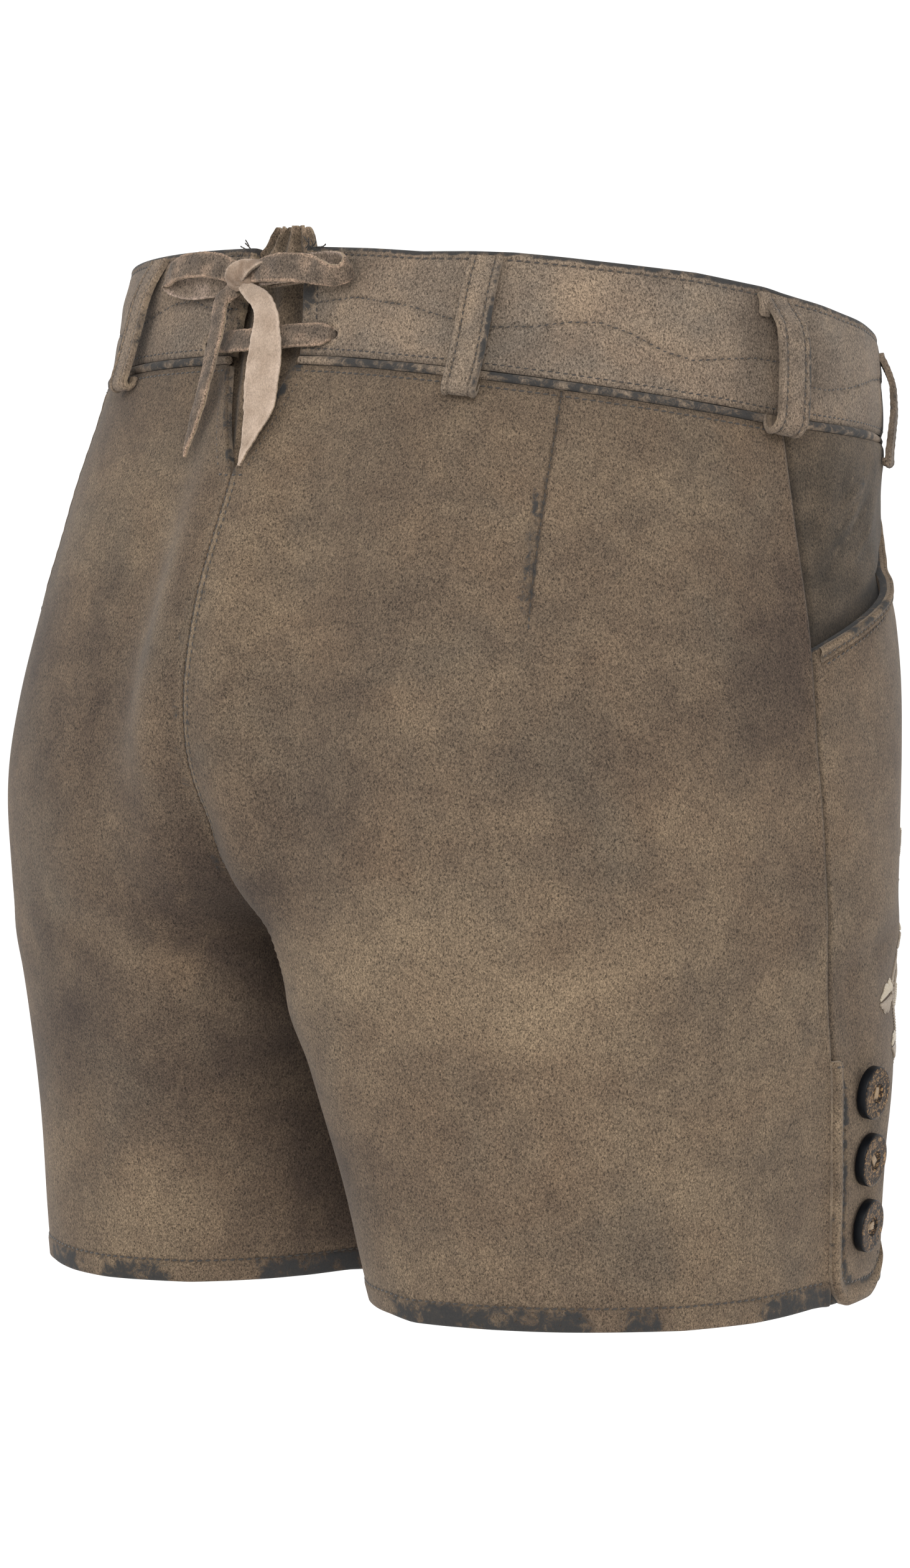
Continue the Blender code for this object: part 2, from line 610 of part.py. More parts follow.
def add_lace(name, route, across_way, material):
    """A flat lace along its route. Its width runs up the leather or sideways, as across_way says."""
    route = np.array(route, float)
    spans = len(route) - 1

    def at(share):
        return dict(zip(LACE_COLUMNS, smooth_between(range(spans + 1), route, share * spans)))

    def spot(share, lower=0.0):
        here = at(share)
        return on_back(here["right"] * MM, here["drop"] * MM + lower, here["out"] * MM)

    def place(along, edge):
        middle, way = spot(along)
        width, lean = at(along)["width"] * MM, np.radians(at(along)["lean"])
        ahead = unit(spot(min(along + 0.01, 1))[0] - spot(max(along - 0.01, 0))[0])
        up_leather = unit(spot(along, -MM)[0] - spot(along, MM)[0])
        base = up_leather if across_way == "up" else np.array([-1.0, 0, 0])
        wide = base * np.cos(lean) + way * np.sin(lean)
        wide = unit(wide - ahead * (wide @ ahead))
        return middle + wide * width * (0.5 - edge), np.cross(wide, ahead)

    return add_cloth(name, spans * LACE_STEPS, 1, place, material, LACE_WALL, outer_share=0.5)


def add_knot():
    """The knot of the bow, a rounded lump between its loops."""
    point, way = on_back(*(measure * MM for measure in KNOT_PLACE))
    bm = bmesh.new()
    bmesh.ops.create_uvsphere(bm, u_segments=14, v_segments=8, radius=1)
    bmesh.ops.scale(bm, verts=bm.verts, vec=KNOT_RADII)
    mesh = bpy.data.meshes.new("lace_knot")
    bm.to_mesh(mesh)
    bm.free()
    knot = add_piece("lace_knot", mesh, "lace_flesh")
    turn_to(knot, point, way)
    return knot


# ---- Legs and front ----


def add_placket(side):
    """The buttoned strip: square above, its two lower corners rounded."""
    lift = APPLIED_GAP + PLACKET_WALL

    def place(across, down):
        into_corner = max(0.0, PLACKET_CORNER - PLACKET_WIDTH * min(across, 1 - across))
        rise = PLACKET_CORNER - np.sqrt(PLACKET_CORNER**2 - into_corner**2)
        drop = PLACKET_TOP + (HEM - PLACKET_FROM_HEM - rise - PLACKET_TOP) * down
        start = seam_at(drop) + PLACKET_FROM_SEAM
        return on_form(side, start + PLACKET_WIDTH * across, drop, lift)

    return add_cloth(f"leg_placket_{SIDE_NAMES[side]}", 10, 6, place, wall=PLACKET_WALL)


def button_mesh():
    """A turned horn button with a raised rim, its back at z = 0. The copies share it."""
    bm = bmesh.new()
    for share, height in BUTTON_PROFILE:
        bm.verts.new((share * BUTTON_RADIUS, 0, height * MM))
    bm.verts.ensure_lookup_table()
    edges = [bm.edges.new((bm.verts[i], bm.verts[i + 1])) for i in range(len(BUTTON_PROFILE) - 1)]
    bmesh.ops.spin(
        bm, geom=list(bm.verts) + edges, cent=(0, 0, 0), axis=(0, 0, 1), angle=2 * np.pi,
        steps=BUTTON_SIDES, use_merge=True,
    )
    bmesh.ops.remove_doubles(bm, verts=bm.verts, dist=0.01 * MM)
    bmesh.ops.recalc_face_normals(bm, faces=bm.faces)
    mesh = bpy.data.meshes.new("horn_button")
    bm.to_mesh(mesh)
    bm.free()
    return mesh


def add_leg_buttons(side, mesh):
    """The three buttons down the middle of a leg's placket."""
    clearance = APPLIED_GAP + PLACKET_WALL + SEAM_GAP
    for i, drop in enumerate(LEG_BUTTON_DROPS, start=1):
        distance = seam_at(drop * MM) + PLACKET_FROM_SEAM + PLACKET_WIDTH / 2
        point, way = on_form(side, distance, drop * MM, clearance)
        button = add_piece(f"leg_button_{SIDE_NAMES[side]}_{i}", mesh.copy(), "horn")
        turn_to(button, point, way)


def flap_half(drop):
    """Half the width of the flap at that drop."""
    share = (drop - FLAP_TOP) / (FLAP_BOTTOM - FLAP_TOP)
    return FLAP_HALF_TOP + (FLAP_HALF_BOTTOM - FLAP_HALF_TOP) * share


def add_front_flap():
    """The drop front: one piece across the middle, from the waistband to below the belly."""

    def place(across, down):
        drop = FLAP_TOP + (FLAP_BOTTOM - FLAP_TOP) * down
        sideways = flap_half(drop) * (2 * across - 1)
        return on_front(sideways, drop, FLAP_LIFT + PANEL_WALL)

    return add_cloth("front_flap", 16, 10, place)


def add_flap_buttons(mesh):
    """The two buttons in the flap's upper corners."""
    drop = FLAP_TOP + FLAP_BUTTON_INSET
    for side in (RIGHT, LEFT):
        sideways = side * (flap_half(drop) - FLAP_BUTTON_INSET)
        point, way = on_front(sideways, drop, FLAP_LIFT + PANEL_WALL + SEAM_GAP)
        button = add_piece(f"flap_button_{SIDE_NAMES[side]}", mesh.copy(), "horn")
        turn_to(button, point, way)


def clear_scene():
    for old in list(bpy.data.objects):
        bpy.data.objects.remove(old, do_unlink=True)


def main():
    clear_scene()
    button = button_mesh()
    for side in (RIGHT, LEFT):
        add_back_panel(side)
        add_front_panel(side)
        add_hip_piece(side)
        add_pocket_welt(side)
        add_waistband(side)
        add_waist_piping(side)
        for where in LOOP_PLACES:
            add_belt_loop(side, where)
        add_placket(side)
        add_leg_buttons(side, button)
        word = SIDE_NAMES[side]
        add_lace(f"lace_upper_{word}", LACE_UPPER[side], "up", "suede")
        add_lace(f"bow_loop_{word}", BOW_LOOP[side], "up", "suede")
        add_lace(f"lace_tail_{word}", LACE_TAIL[side], "sideways", "lace_flesh")
    add_gusset()
    add_lace("lace_cross", LACE_CROSS, "up", "suede")
    add_knot()
    add_front_flap()
    add_flap_buttons(button)
    bpy.context.view_layer.update()


main()
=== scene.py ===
"""The looks of the lederhosen: their fine leather, seams, lace, buttons, light and camera.

Every piece is laid on the same body form as its solid and stays in that solid's space. A place on
the form is read by its distance from the centre back, along the leather, and by its drop below the
waistband's top edge. Lengths are millimetres until a mesh is written, which is in metres.
"""

import logging
import math
from collections.abc import Iterable, Sequence
from dataclasses import dataclass
from enum import Enum

import bmesh
import bpy
import numpy as np
from mathutils import Matrix, Vector


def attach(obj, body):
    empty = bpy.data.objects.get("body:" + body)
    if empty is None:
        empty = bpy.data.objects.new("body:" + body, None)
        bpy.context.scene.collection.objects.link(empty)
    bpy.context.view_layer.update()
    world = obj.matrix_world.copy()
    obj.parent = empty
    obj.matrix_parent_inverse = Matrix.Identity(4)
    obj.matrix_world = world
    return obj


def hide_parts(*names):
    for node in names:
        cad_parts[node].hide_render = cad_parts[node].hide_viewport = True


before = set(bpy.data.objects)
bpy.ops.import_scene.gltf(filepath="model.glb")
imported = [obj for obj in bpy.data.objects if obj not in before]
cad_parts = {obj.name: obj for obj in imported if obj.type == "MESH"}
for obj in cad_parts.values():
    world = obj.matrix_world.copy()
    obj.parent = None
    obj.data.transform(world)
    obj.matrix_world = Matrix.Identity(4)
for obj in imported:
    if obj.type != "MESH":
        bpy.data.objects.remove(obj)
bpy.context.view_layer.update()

Array = np.ndarray

MM = 0.001
LOG = logging.getLogger("lederhosen")

# Leather and seams, as in the solids
PANEL_WALL = 1.8
BAND_WALL = 2.4
LACE_WALL = 1.5
APPLIED_GAP = 0.35  # under a piece sewn on top of a panel
SEAM_GAP = 0.3  # under a button
MIDDLE_CLEAR = 0.18  # the form's table keeps this far from the middle plane
SEAM_CLOSE = 7.0  # and is drawn in to it over this width, because sewn edges meet

# Heights, as drops below the top edge of the waistband
BAND_BOTTOM = 44.3
WAIST_SEAM = 46.0
PANEL_TOP = 47.7
NOTCH_BOTTOM = 80.0
CROTCH = 245.0
HEM = 350.0

# The body form: z is a height, w a distance from the middle plane and y is + to the back. A ring
# runs from its inner back end, over the seat, the side and the thigh, to its inner front end.
FORM_COLUMNS = (
    "drop", "back_z", "side_z", "front_z", "inner_w", "back_y", "back_turn", "seat_w", "seat_y",
    "side_w", "side_y", "thigh_w", "thigh_y", "front_y", "front_turn", "seam_y", "back_full",
    "front_full",
)
FORM_ROWS = {
    "waist top": (0, 23, 8, -22, 0, 113, 0, 30, 109.5, 149.5, 3.5, 30, -107.5, -108, 0, 23, 0.55, 0.55),
    "waist seam": (46, -17, -39, -53.5, 0, 125.5, 0, 34, 120, 155, 2.5, 34, -103, -104, 0, 21, 0.55, 0.55),
    "high hip": (80, -57.5, -75.5, -86, 0, 141, 4, 41, 134.5, 160, 8, 40, -99, -101, 0, 20.5, 0.55, 0.55),
    "hip": (125, -105.5, -117.5, -124, 0, 160, 10, 47, 147, 168.5, 11.5, 45, -98.5, -99, 6, 22, 0.55, 0.55),
    "seat": (155, -137, -150.5, -159, 0, 165, 16, 53, 154, 172, 15.5, 52, -95, -94, 12, 23, 0.55, 0.55),
    "low seat": (
        195, -176, -185.5, -193, 0, 154, 34, 58, 156.5, 176, 18, 58, -89.5, -82, 30, 23.5, 0.58, 0.56,
    ),
    "seat fold": (
        220, -207.5, -208.5, -216, 0, 129, 62, 56, 155, 176.5, 19, 63, -84, -56, 55, 22.5, 0.66, 0.58,
    ),
    "crotch": (245, -242, -239.5, -242, 0, 37, 84, 54, 150.5, 174.5, 19, 70, -81, 37, 84, 20, 0.71, 0.6),
    "thigh": (270, -266.5, -266, -266.5, 4, 30, 90, 58, 144, 173, 19.5, 76, -79.5, 30, 90, 16, 0.67, 0.6),
    "mid leg": (305, -303, -303, -303, 5, 27, 90, 69, 135.5, 168, 21.5, 81, -78.5, 27, 90, 9.5, 0.62, 0.57),
    "hem": (350, -348.5, -354, -348.5, 5, 24, 90, 79, 129, 160.5, 25.5, 85, -81, 24, 90, 0, 0.52, 0.55),
}
QUARTER_POINTS = 60  # points read on each quarter of a ring
ROUND_CORNER = 0.55
FORM_STEPS = 240  # places kept on each ring from the centre back to the side seam, and on to the front

# The laced notch at the centre back
NOTCH_AT_TOP = {"right": 9.0, "left": 20.0}
NOTCH_AT_SEAM = {"right": 15.5, "left": 22.5}
LACE_HOLES = {"right": ((26.6, 7.4), (27.2, 36.9)), "left": ((32.0, 8.0), (33.5, 40.6))}

# The pocket mouth on the front
POCKET_SIDE_DROP = 126.0
POCKET_END = 0.425  # of the way from the side seam to the centre front
POCKET_GAPE = 4.0
POCKET_GAPE_REACH = 24.0
HIP_HOLLOW = 1.4  # how far the hip lies inside the form beside the pocket
WELT_SINK = 1.5  # how far the mouth's front end is drawn in
HEM_SAG = {  # how much lower the hem hangs than its ring, by the sign of X: distance, mm
    -1: (
        (105, 1.4), (125, 2.2), (138, 3.6), (160, 3.1), (180, 2.9), (240, 2.9), (255, 2.2), (270, 1.5),
        (285, 0.2), (300, -1.3), (330, -2.2), (380, -2.2), (450, 0.0),
    ),
    1: (
        (30, 0.0), (45, -0.3), (60, 0.7), (75, 1.3), (105, 2.0), (120, 1.5), (140, 1.0), (158, 0.0),
        (180, -1.8), (240, -2.0), (330, -2.0), (450, 0.0),
    ),
}
HEM_SAG_START = 285.0  # the drop from which it grows
TOP_RISE = (  # how much higher the band stands on the right: distance, mm
    (60, 0.0), (80, 1.3), (95, 2.0), (160, 1.9), (180, 0.7), (195, 0.0),
)
TOP_RISE_END = 22.0  # the drop at which it has faded
FRONT_CREST = 12 / 18  # the share of a front panel's width that lies outside the thigh's crest


class Side(Enum):
    """A half of the garment: the sign of X on it."""

    RIGHT = -1
    LEFT = 1

    @property
    def word(self) -> str:
        """The side's name in piece names."""
        return self.name.lower()


class Face(Enum):
    """The surfaces of a leather wall: its worn face, its inside and its cut edge."""

    OUTER = 0
    INNER = 1
    EDGE = 2


# ---- Small geometry ----


def smooth_between(knots: Sequence[float], values: Array, at: Array) -> Array:
    """Values on a smooth curve through knots, which never overshoots them.

    Args:
        knots: The rising places of the values.
        values: One row for each knot.
        at: The places to read, of any shape.

    Returns:
        The values there, with one more axis than the places.
    """
    knots, values, at = np.asarray(knots, float), np.asarray(values, float), np.asarray(at, float)
    steps = np.diff(knots)
    slopes = np.diff(values, axis=0) / steps[:, None]
    tangents = np.empty_like(values)
    tangents[0], tangents[-1] = slopes[0], slopes[-1]
    weights = steps[1:, None] + steps[:-1, None]
    mean = (slopes[:-1] * steps[1:, None] + slopes[1:] * steps[:-1, None]) / weights
    least = np.minimum(np.abs(slopes[:-1]), np.abs(slopes[1:]))
    tangents[1:-1] = np.where(slopes[:-1] * slopes[1:] > 0, np.clip(mean, -3 * least, 3 * least), 0)
    i = np.clip(np.searchsorted(knots, at, side="right") - 1, 0, len(steps) - 1)
    h = steps[i][..., None]
    x = (at - knots[i])[..., None] / h
    return (
        (2 * x**3 - 3 * x**2 + 1) * values[i]
        + (x**3 - 2 * x**2 + x) * h * tangents[i]
        + (3 * x**2 - 2 * x**3) * values[i + 1]
        + (x**3 - x**2) * h * tangents[i + 1]
    )


def alike(*values: Array | float) -> list[Array]:
    """The values as arrays of numbers in one shape."""
    return np.broadcast_arrays(*(np.asarray(value, float) for value in values))


def unit(ways: Array) -> Array:
    """The same directions with a length of one."""
    return ways / np.maximum(np.linalg.norm(ways, axis=-1, keepdims=True), 1e-12)


def bell(offset: Array, width: float) -> Array:
    """One at no offset, fading to nothing over a few widths."""
    return np.exp(-((offset / width) ** 2))


def ridges(offset: Array, rows: Sequence[tuple[float, float, float]]) -> Array:
    """The height of the ridges beside a line; a row is a ridge's height, offset and width."""
    return sum(height * bell(offset - place, width) for height, place, width in rows)


def puckers(along: Array, pitch: float, phase: float = 0.0) -> Array:
    """Even puckers along a seam, between -1 and 1."""
    return np.sin(2 * np.pi * along / pitch + phase)


def ease(value: Array, low: float, high: float) -> Array:
    """A soft step from 0 at low to 1 at high."""
    share = np.clip((value - low) / (high - low), 0, 1)
    return share * share * (3 - 2 * share)


def rounded_edge(inset: Array, radius: float) -> Array:
    """How far a rounded edge of that radius falls below the face, at an inset from its end."""
    into = np.clip(radius - inset, 0, radius)
    return radius - np.sqrt(radius**2 - into**2)


def from_line(distance: Array, drop: Array, line: Sequence[tuple[float, float]]) -> Array:
    """The least distance from each place to a line of (distance, drop) points."""
    here = np.stack(np.broadcast_arrays(distance, drop), -1)
    least = np.full(here.shape[:-1], np.inf)
    for start, end in zip(line[:-1], line[1:]):
        start, run = np.array(start, float), np.subtract(end, start)
        share = np.clip(((here - start) @ run) / max(run @ run, 1e-9), 0, 1)
        least = np.minimum(least, np.linalg.norm(here - start - share[..., None] * run, axis=-1))
    return least


def even_points(line: Array, step: float) -> Array:
    """Points a step apart along a line of points, from its first to near its last."""
    line = np.asarray(line, float)
    along = np.concatenate([[0], np.cumsum(np.linalg.norm(np.diff(line, axis=0), axis=1))])
    places = np.linspace(0, along[-1], max(2, round(along[-1] / step) + 1))
    return np.column_stack([np.interp(places, along, column) for column in line.T])


def stations(start: float, end: float, step: float, fine: Iterable[float] = ()) -> Array:
    """Places from start to end about a step apart, with closer ones around each fine place."""
    offsets = (-1.5, -0.8, -0.35, 0.0, 0.35, 0.8, 1.5)
    close = sorted({round(f + o, 3) for f in fine for o in offsets if start < f + o < end})
    base = [p for p in np.linspace(start, end, round((end - start) / step) + 1)[1:-1]
            if not close or min(abs(p - c) for c in close) > 0.45 * step]
    merged = [start, *sorted([*base, *close]), end]
    return np.array([p for i, p in enumerate(merged) if i == 0 or p - merged[i - 1] > 0.05])


def closer_at_ends(near: Array, count: int) -> Array:
    """Shares from 0 to 1: the near ones at both ends, and even ones between them."""
    return np.concatenate([near, np.linspace(near[-1], 1 - near[-1], count)[1:-1], 1 - near[::-1]])


def stood(point: Sequence[float], way: Sequence[float]) -> Matrix:
    """The place of something at a point whose own Z runs that way."""
    return Matrix.Translation(Vector(point)) @ Vector(way).to_track_quat("Z", "Y").to_matrix().to_4x4()


# ---- The body form ----


def quarter(start, start_way, end, end_way, fullness: float) -> Array:
    """Points of a Bezier corner between two places, leaving and arriving along the given ways."""
    start, end, start_way, end_way = (np.array(v, float) for v in (start, end, start_way, end_way))
    reach = np.abs(end - start)
    a = start + start_way * (reach @ np.abs(start_way)) * fullness
    b = end - end_way * (reach @ np.abs(end_way)) * fullness
    t = np.linspace(0, 1, QUARTER_POINTS)[:, None]
    return (1 - t) ** 3 * start + 3 * (1 - t) ** 2 * t * a + 3 * (1 - t) * t**2 * b + t**3 * end


class BodyForm:
    """The filled-out shape of the breeches, kept as a table of rings one millimetre of drop apart."""

    def __init__(self) -> None:
        """Reads every ring once."""
        rings = [self._ring(float(drop)) for drop in range(int(HEM) + 1)]
        self._points = np.array([points for points, _ in rings])
        self._marks = np.array([marks for _, marks in rings])
        across = np.gradient(self._points, axis=1)
        down = np.gradient(self._points, axis=0)
        self._ways = unit(np.cross(across, down))

    @staticmethod
    def _ring(drop: float) -> tuple[Array, tuple[float, float, float, float]]:
        """One half ring.

        Args:
            drop: Its drop below the waistband's top edge.

        Returns:
            Its points (w, y, z) at even shares of the way to the side seam and on to the front,
            and the distances of the seat's crest, the side seam, the thigh's crest and the end.
        """
        table = np.array(list(FORM_ROWS.values()), float)
        f = dict(zip(FORM_COLUMNS[1:], smooth_between(table[:, 0], table[:, 1:], drop)))
        if drop >= CROTCH:
            f["front_y"] = f["back_y"]
        back_turn, front_turn = np.radians(f["back_turn"]), np.radians(f["front_turn"])
        seat, side, thigh = ((f[f"{n}_w"], f[f"{n}_y"]) for n in ("seat", "side", "thigh"))
        inner_back, inner_front = (f["inner_w"], f["back_y"]), (f["inner_w"], f["front_y"])
        corners = [
            quarter(inner_back, (np.cos(back_turn), np.sin(back_turn)), seat, (1, 0), f["back_full"]),
            quarter(seat, (1, 0), side, (0, -1), ROUND_CORNER),
            quarter(side, (0, -1), thigh, (-1, 0), ROUND_CORNER),
            quarter(thigh, (-1, 0), inner_front, (-np.cos(front_turn), np.sin(front_turn)), f["front_full"]),
        ]
        plan = np.vstack([c[:-1] for c in corners[:3]] + [corners[3]])
        along = np.concatenate([[0], np.cumsum(np.hypot(*np.diff(plan, axis=0).T))])
        outer = slice(QUARTER_POINTS - 1, 3 * QUARTER_POINTS - 2)
        seam = float(np.interp(-f["seam_y"], -plan[outer, 1], along[outer]))
        to_back = np.cos(np.pi / 2 * np.clip(along / seam, 0, 1))
        to_front = np.sin(np.pi / 2 * np.clip((along - seam) / (along[-1] - seam), 0, 1))
        z = f["side_z"] + (f["back_z"] - f["side_z"]) * to_back + (f["front_z"] - f["side_z"]) * to_front
        plan[:, 0] = np.maximum(plan[:, 0], MIDDLE_CLEAR)
        shares = np.linspace(0, 1, FORM_STEPS + 1)
        places = np.concatenate([shares * seam, seam + shares[1:] * (along[-1] - seam)])
        points = np.column_stack([np.interp(places, along, v) for v in (*plan.T, z)])
        return points, (along[QUARTER_POINTS - 1], seam, along[3 * QUARTER_POINTS - 3], along[-1])

    def _mark(self, column: int, drop: Array | float) -> Array:
        """A mark's distance from the centre back at each drop."""
        return np.interp(drop, np.arange(len(self._marks)), self._marks[:, column])

    def seam(self, drop: Array | float) -> Array:
        """The side seam's distance from the centre back."""
        return self._mark(1, drop)

    def thigh(self, drop: Array | float) -> Array:
        """The distance of the crest of the thigh."""
        return self._mark(2, drop)

    def end(self, drop: Array | float) -> Array:
        """The distance of the centre front: the length of half a ring."""
        return self._mark(3, drop)

    def at(
        self, side: Array | Side, distance: Array, drop: Array, out: Array | float = 0.0,
    ) -> tuple[Array, Array]:
        """Places on the form.

        Args:
            side: The half, or the sign of X at each place.
            distance: Distances from the centre back.
            drop: Drops below the waistband's top edge.
            out: How far off the form, outwards.

        Returns:
            The points and the outward directions there, in (X, Y, Z).
        """
        sign = side.value if isinstance(side, Side) else side
        distance, drop, sign, out = alike(distance, drop, sign, out)
        seam, end = self.seam(drop), self.end(drop)
        share = np.where(distance <= seam, distance / seam, 1 + (distance - seam) / (end - seam))
        u = np.clip(share * FORM_STEPS, 0, 2 * FORM_STEPS - 1e-6)
        v = np.clip(drop, 0, HEM - 1e-6)
        i, j = u.astype(int), v.astype(int)
        a, b = (u - i)[..., None], (v - j)[..., None]

        def read(table: Array) -> Array:
            """The table's values between its rings and shares."""
            upper = table[j, i] * (1 - a) + table[j, i + 1] * a
            lower = table[j + 1, i] * (1 - a) + table[j + 1, i + 1] * a
            return upper * (1 - b) + lower * b

        flip = np.stack([sign, np.ones_like(sign), np.ones_like(sign)], -1)
        ways = unit(read(self._ways))
        points = read(self._points)
        points[..., 0] -= MIDDLE_CLEAR * (1 - ease(points[..., 0], MIDDLE_CLEAR, SEAM_CLOSE))
        points = (points + ways * out[..., None]) * flip
        right, left = (np.interp(distance, *np.array(HEM_SAG[half], float).T) for half in (-1, 1))
        points[..., 2] -= np.where(sign < 0, right, left) * ease(drop, HEM_SAG_START, HEM)
        rise = np.interp(distance, *np.array(TOP_RISE, float).T) * (1 - ease(drop, 0, TOP_RISE_END))
        points[..., 2] += np.where(sign < 0, rise, 0.0)
        return points, ways * flip

    def back(self, right: Array, drop: Array, out: Array | float = 0.0) -> tuple[Array, Array]:
        """Places across the middle back: right is + towards the wearer's right."""
        right = np.asarray(right, float)
        return self.at(np.where(right >= 0, -1.0, 1.0), np.abs(right), drop, out)

    def front(self, left: Array, drop: Array, out: Array | float = 0.0) -> tuple[Array, Array]:
        """Places across the middle front: left is + towards the wearer's left."""
        left = np.asarray(left, float)
        return self.at(np.where(left >= 0, 1.0, -1.0), self.end(drop) - np.abs(left), drop, out)


FORM = BodyForm()


def notch_edge(side: Side, drop: Array) -> Array:
    """How far the edge of the laced notch stands from the middle at each drop."""
    top, seam = NOTCH_AT_TOP[side.word], NOTCH_AT_SEAM[side.word]
    return np.interp(drop, (0, WAIST_SEAM, NOTCH_BOTTOM), (top, seam, 0))


def pocket_mouth(share: Array) -> Array:
    """The drop of the pocket mouth at a share of the way from the side seam to its end."""
    return PANEL_TOP + (POCKET_SIDE_DROP - PANEL_TOP) * (1 - 0.65 * share - 0.35 * share**3)


def front_top(across: Array) -> Array:
    """The drop of the front panel's upper edge, with across 0 at the side seam and 1 in the middle."""
    return np.where(across < POCKET_END, pocket_mouth(np.minimum(across / POCKET_END, 1)), PANEL_TOP)


def pocket_gape(across: Array, drop: Array) -> Array:
    """How far the front panel stands off the hip, because the pocket mouth hangs open."""
    below = (drop - front_top(across)) / POCKET_GAPE_REACH
    bow = np.sin(np.pi * np.clip(across / POCKET_END, 0, 1)) * ease(front_top(across), 90, 111)
    return POCKET_GAPE * bow * np.exp(-(np.maximum(below, 0) ** 2))


def hip_hollow(across: Array, drop: Array) -> Array:
    """How far the hip is drawn in above and in front of the pocket mouth."""
    hollow = HIP_HOLLOW * ease(across, 0.15, 0.24) * (1 - ease(across, 0.42, 0.5))
    return hollow * ease(drop, 50, 66) * (1 - ease(drop, 94, 116))


def welt_sink(across: Array) -> Array:
    """How far the front end of the pocket's welt sinks."""
    return WELT_SINK * ease(across, 0.2, 0.27) * (1 - ease(across, 0.395, 0.42))


def front_distance(across: Array, drop: Array) -> Array:
    """The distance from the centre back of a place across a front panel."""
    seam, crest, end = FORM.seam(drop), FORM.thigh(drop), FORM.end(drop)
    share = np.asarray(across, float)
    outer = seam + (crest - seam) * share / FRONT_CREST
    inner = crest + (end - crest) * (share - FRONT_CREST) / (1 - FRONT_CREST)
    return np.where(share < FRONT_CREST, outer, inner)


def front_across(distance: Array, drop: Array) -> Array:
    """The place across a front panel of a distance from the centre back."""
    seam, crest, end = FORM.seam(drop), FORM.thigh(drop), FORM.end(drop)
    outer = (distance - seam) / (crest - seam) * FRONT_CREST
    inner = FRONT_CREST + (distance - crest) / (end - crest) * (1 - FRONT_CREST)
    return np.where(distance < crest, outer, inner)


# ---- Relief and tone of the leather ----


@dataclass(frozen=True)
class Crease:
    """A soft trough in the leather, or a ridge where its depth is negative.

    Its middle is at (distance, drop). turn is in degrees from straight down, + towards greater
    distance, and bend bows its ends sideways.
    """

    distance: float
    drop: float
    length: float
    turn: float
    width: float
    depth: float
    bend: float = 0.0

    def height(self, distance: Array, drop: Array) -> Array:
        """The height that it adds at each place."""
        turn = math.radians(self.turn)
        right, down = distance - self.distance, drop - self.drop
        along = (down * math.cos(turn) + right * math.sin(turn)) / (self.length / 2)
        across = right * math.cos(turn) - down * math.sin(turn) - self.bend * along**2
        return -self.depth * np.clip(1 - along**2, 0, 1) ** 1.5 * bell(across, self.width)


@dataclass(frozen=True)
class Patch:
    """A change of tone in the leather: + is lighter and warmer, - darker."""

    distance: float
    drop: float
    wide: float
    tall: float
    amount: float
    turn: float = 0.0

    def tone(self, distance: Array, drop: Array) -> Array:
        """The tone that it adds at each place."""
        turn = math.radians(self.turn)
        right, down = distance - self.distance, drop - self.drop
        across = right * math.cos(turn) + down * math.sin(turn)
        upright = down * math.cos(turn) - right * math.sin(turn)
        return self.amount * np.exp(-((across / self.wide) ** 2) - (upright / self.tall) ** 2)


@dataclass(frozen=True)
class Waves:
    """Slow unevenness: a few crossing waves of about one size."""

    seed: int
    size: float
    height: float
    count: int = 7

    def at(self, x: Array, y: Array) -> Array:
        """The height at each place."""
        draw = np.random.default_rng(self.seed)
        total = 0.0
        for _ in range(self.count):
            turn, phase = draw.uniform(0, 2 * np.pi, 2)
            pitch = self.size * draw.uniform(0.7, 1.6)
            total = total + np.sin((x * np.cos(turn) + y * np.sin(turn)) * 2 * np.pi / pitch + phase)
        return self.height * total / math.sqrt(self.count)


def creases(*rows: Sequence[float]) -> tuple[Crease, ...]:
    """A crease for each row of a Crease's values."""
    return tuple(Crease(*row) for row in rows)


def patches(*rows: Sequence[float]) -> tuple[Patch, ...]:
    """A patch for each row of a Patch's values."""
    return tuple(Patch(*row) for row in rows)


def total_height(troughs: Iterable[Crease], distance: Array, drop: Array) -> Array:
    """The heights of those creases together."""
    return sum((trough.height(distance, drop) for trough in troughs), np.zeros(np.shape(distance)))


def total_tone(marks: Iterable[Patch], distance: Array, drop: Array) -> Array:
    """The tones of those patches together."""
    return sum((mark.tone(distance, drop) for mark in marks), np.zeros(np.shape(distance)))


# ---- Materials ----


def linear(hex_colour: str) -> tuple[float, float, float, float]:
    """The linear RGBA of an sRGB hex colour."""
    parts = [int(hex_colour[i : i + 2], 16) / 255 for i in (1, 3, 5)]
    return (*(c / 12.92 if c <= 0.04045 else ((c + 0.055) / 1.055) ** 2.4 for c in parts), 1.0)


def add_node(tree: bpy.types.NodeTree, kind: str, links: dict | None = None, **settings) -> bpy.types.Node:
    """Adds a shader node.

    Args:
        tree: The material's node tree.
        kind: The node's type.
        links: Sockets that feed its inputs, by the input's name or number.
        **settings: Its properties, and values of its inputs as in_NAME or in_NUMBER.

    Returns:
        The node.
    """
    node = tree.nodes.new(kind)
    for name, value in settings.items():
        if name.startswith("in_"):
            key = name[3:].replace("_", " ")
            node.inputs[int(key) if key.isdigit() else key].default_value = value
        else:
            setattr(node, name, value)
    for key, source in (links or {}).items():
        tree.links.new(source, node.inputs[key])
    return node


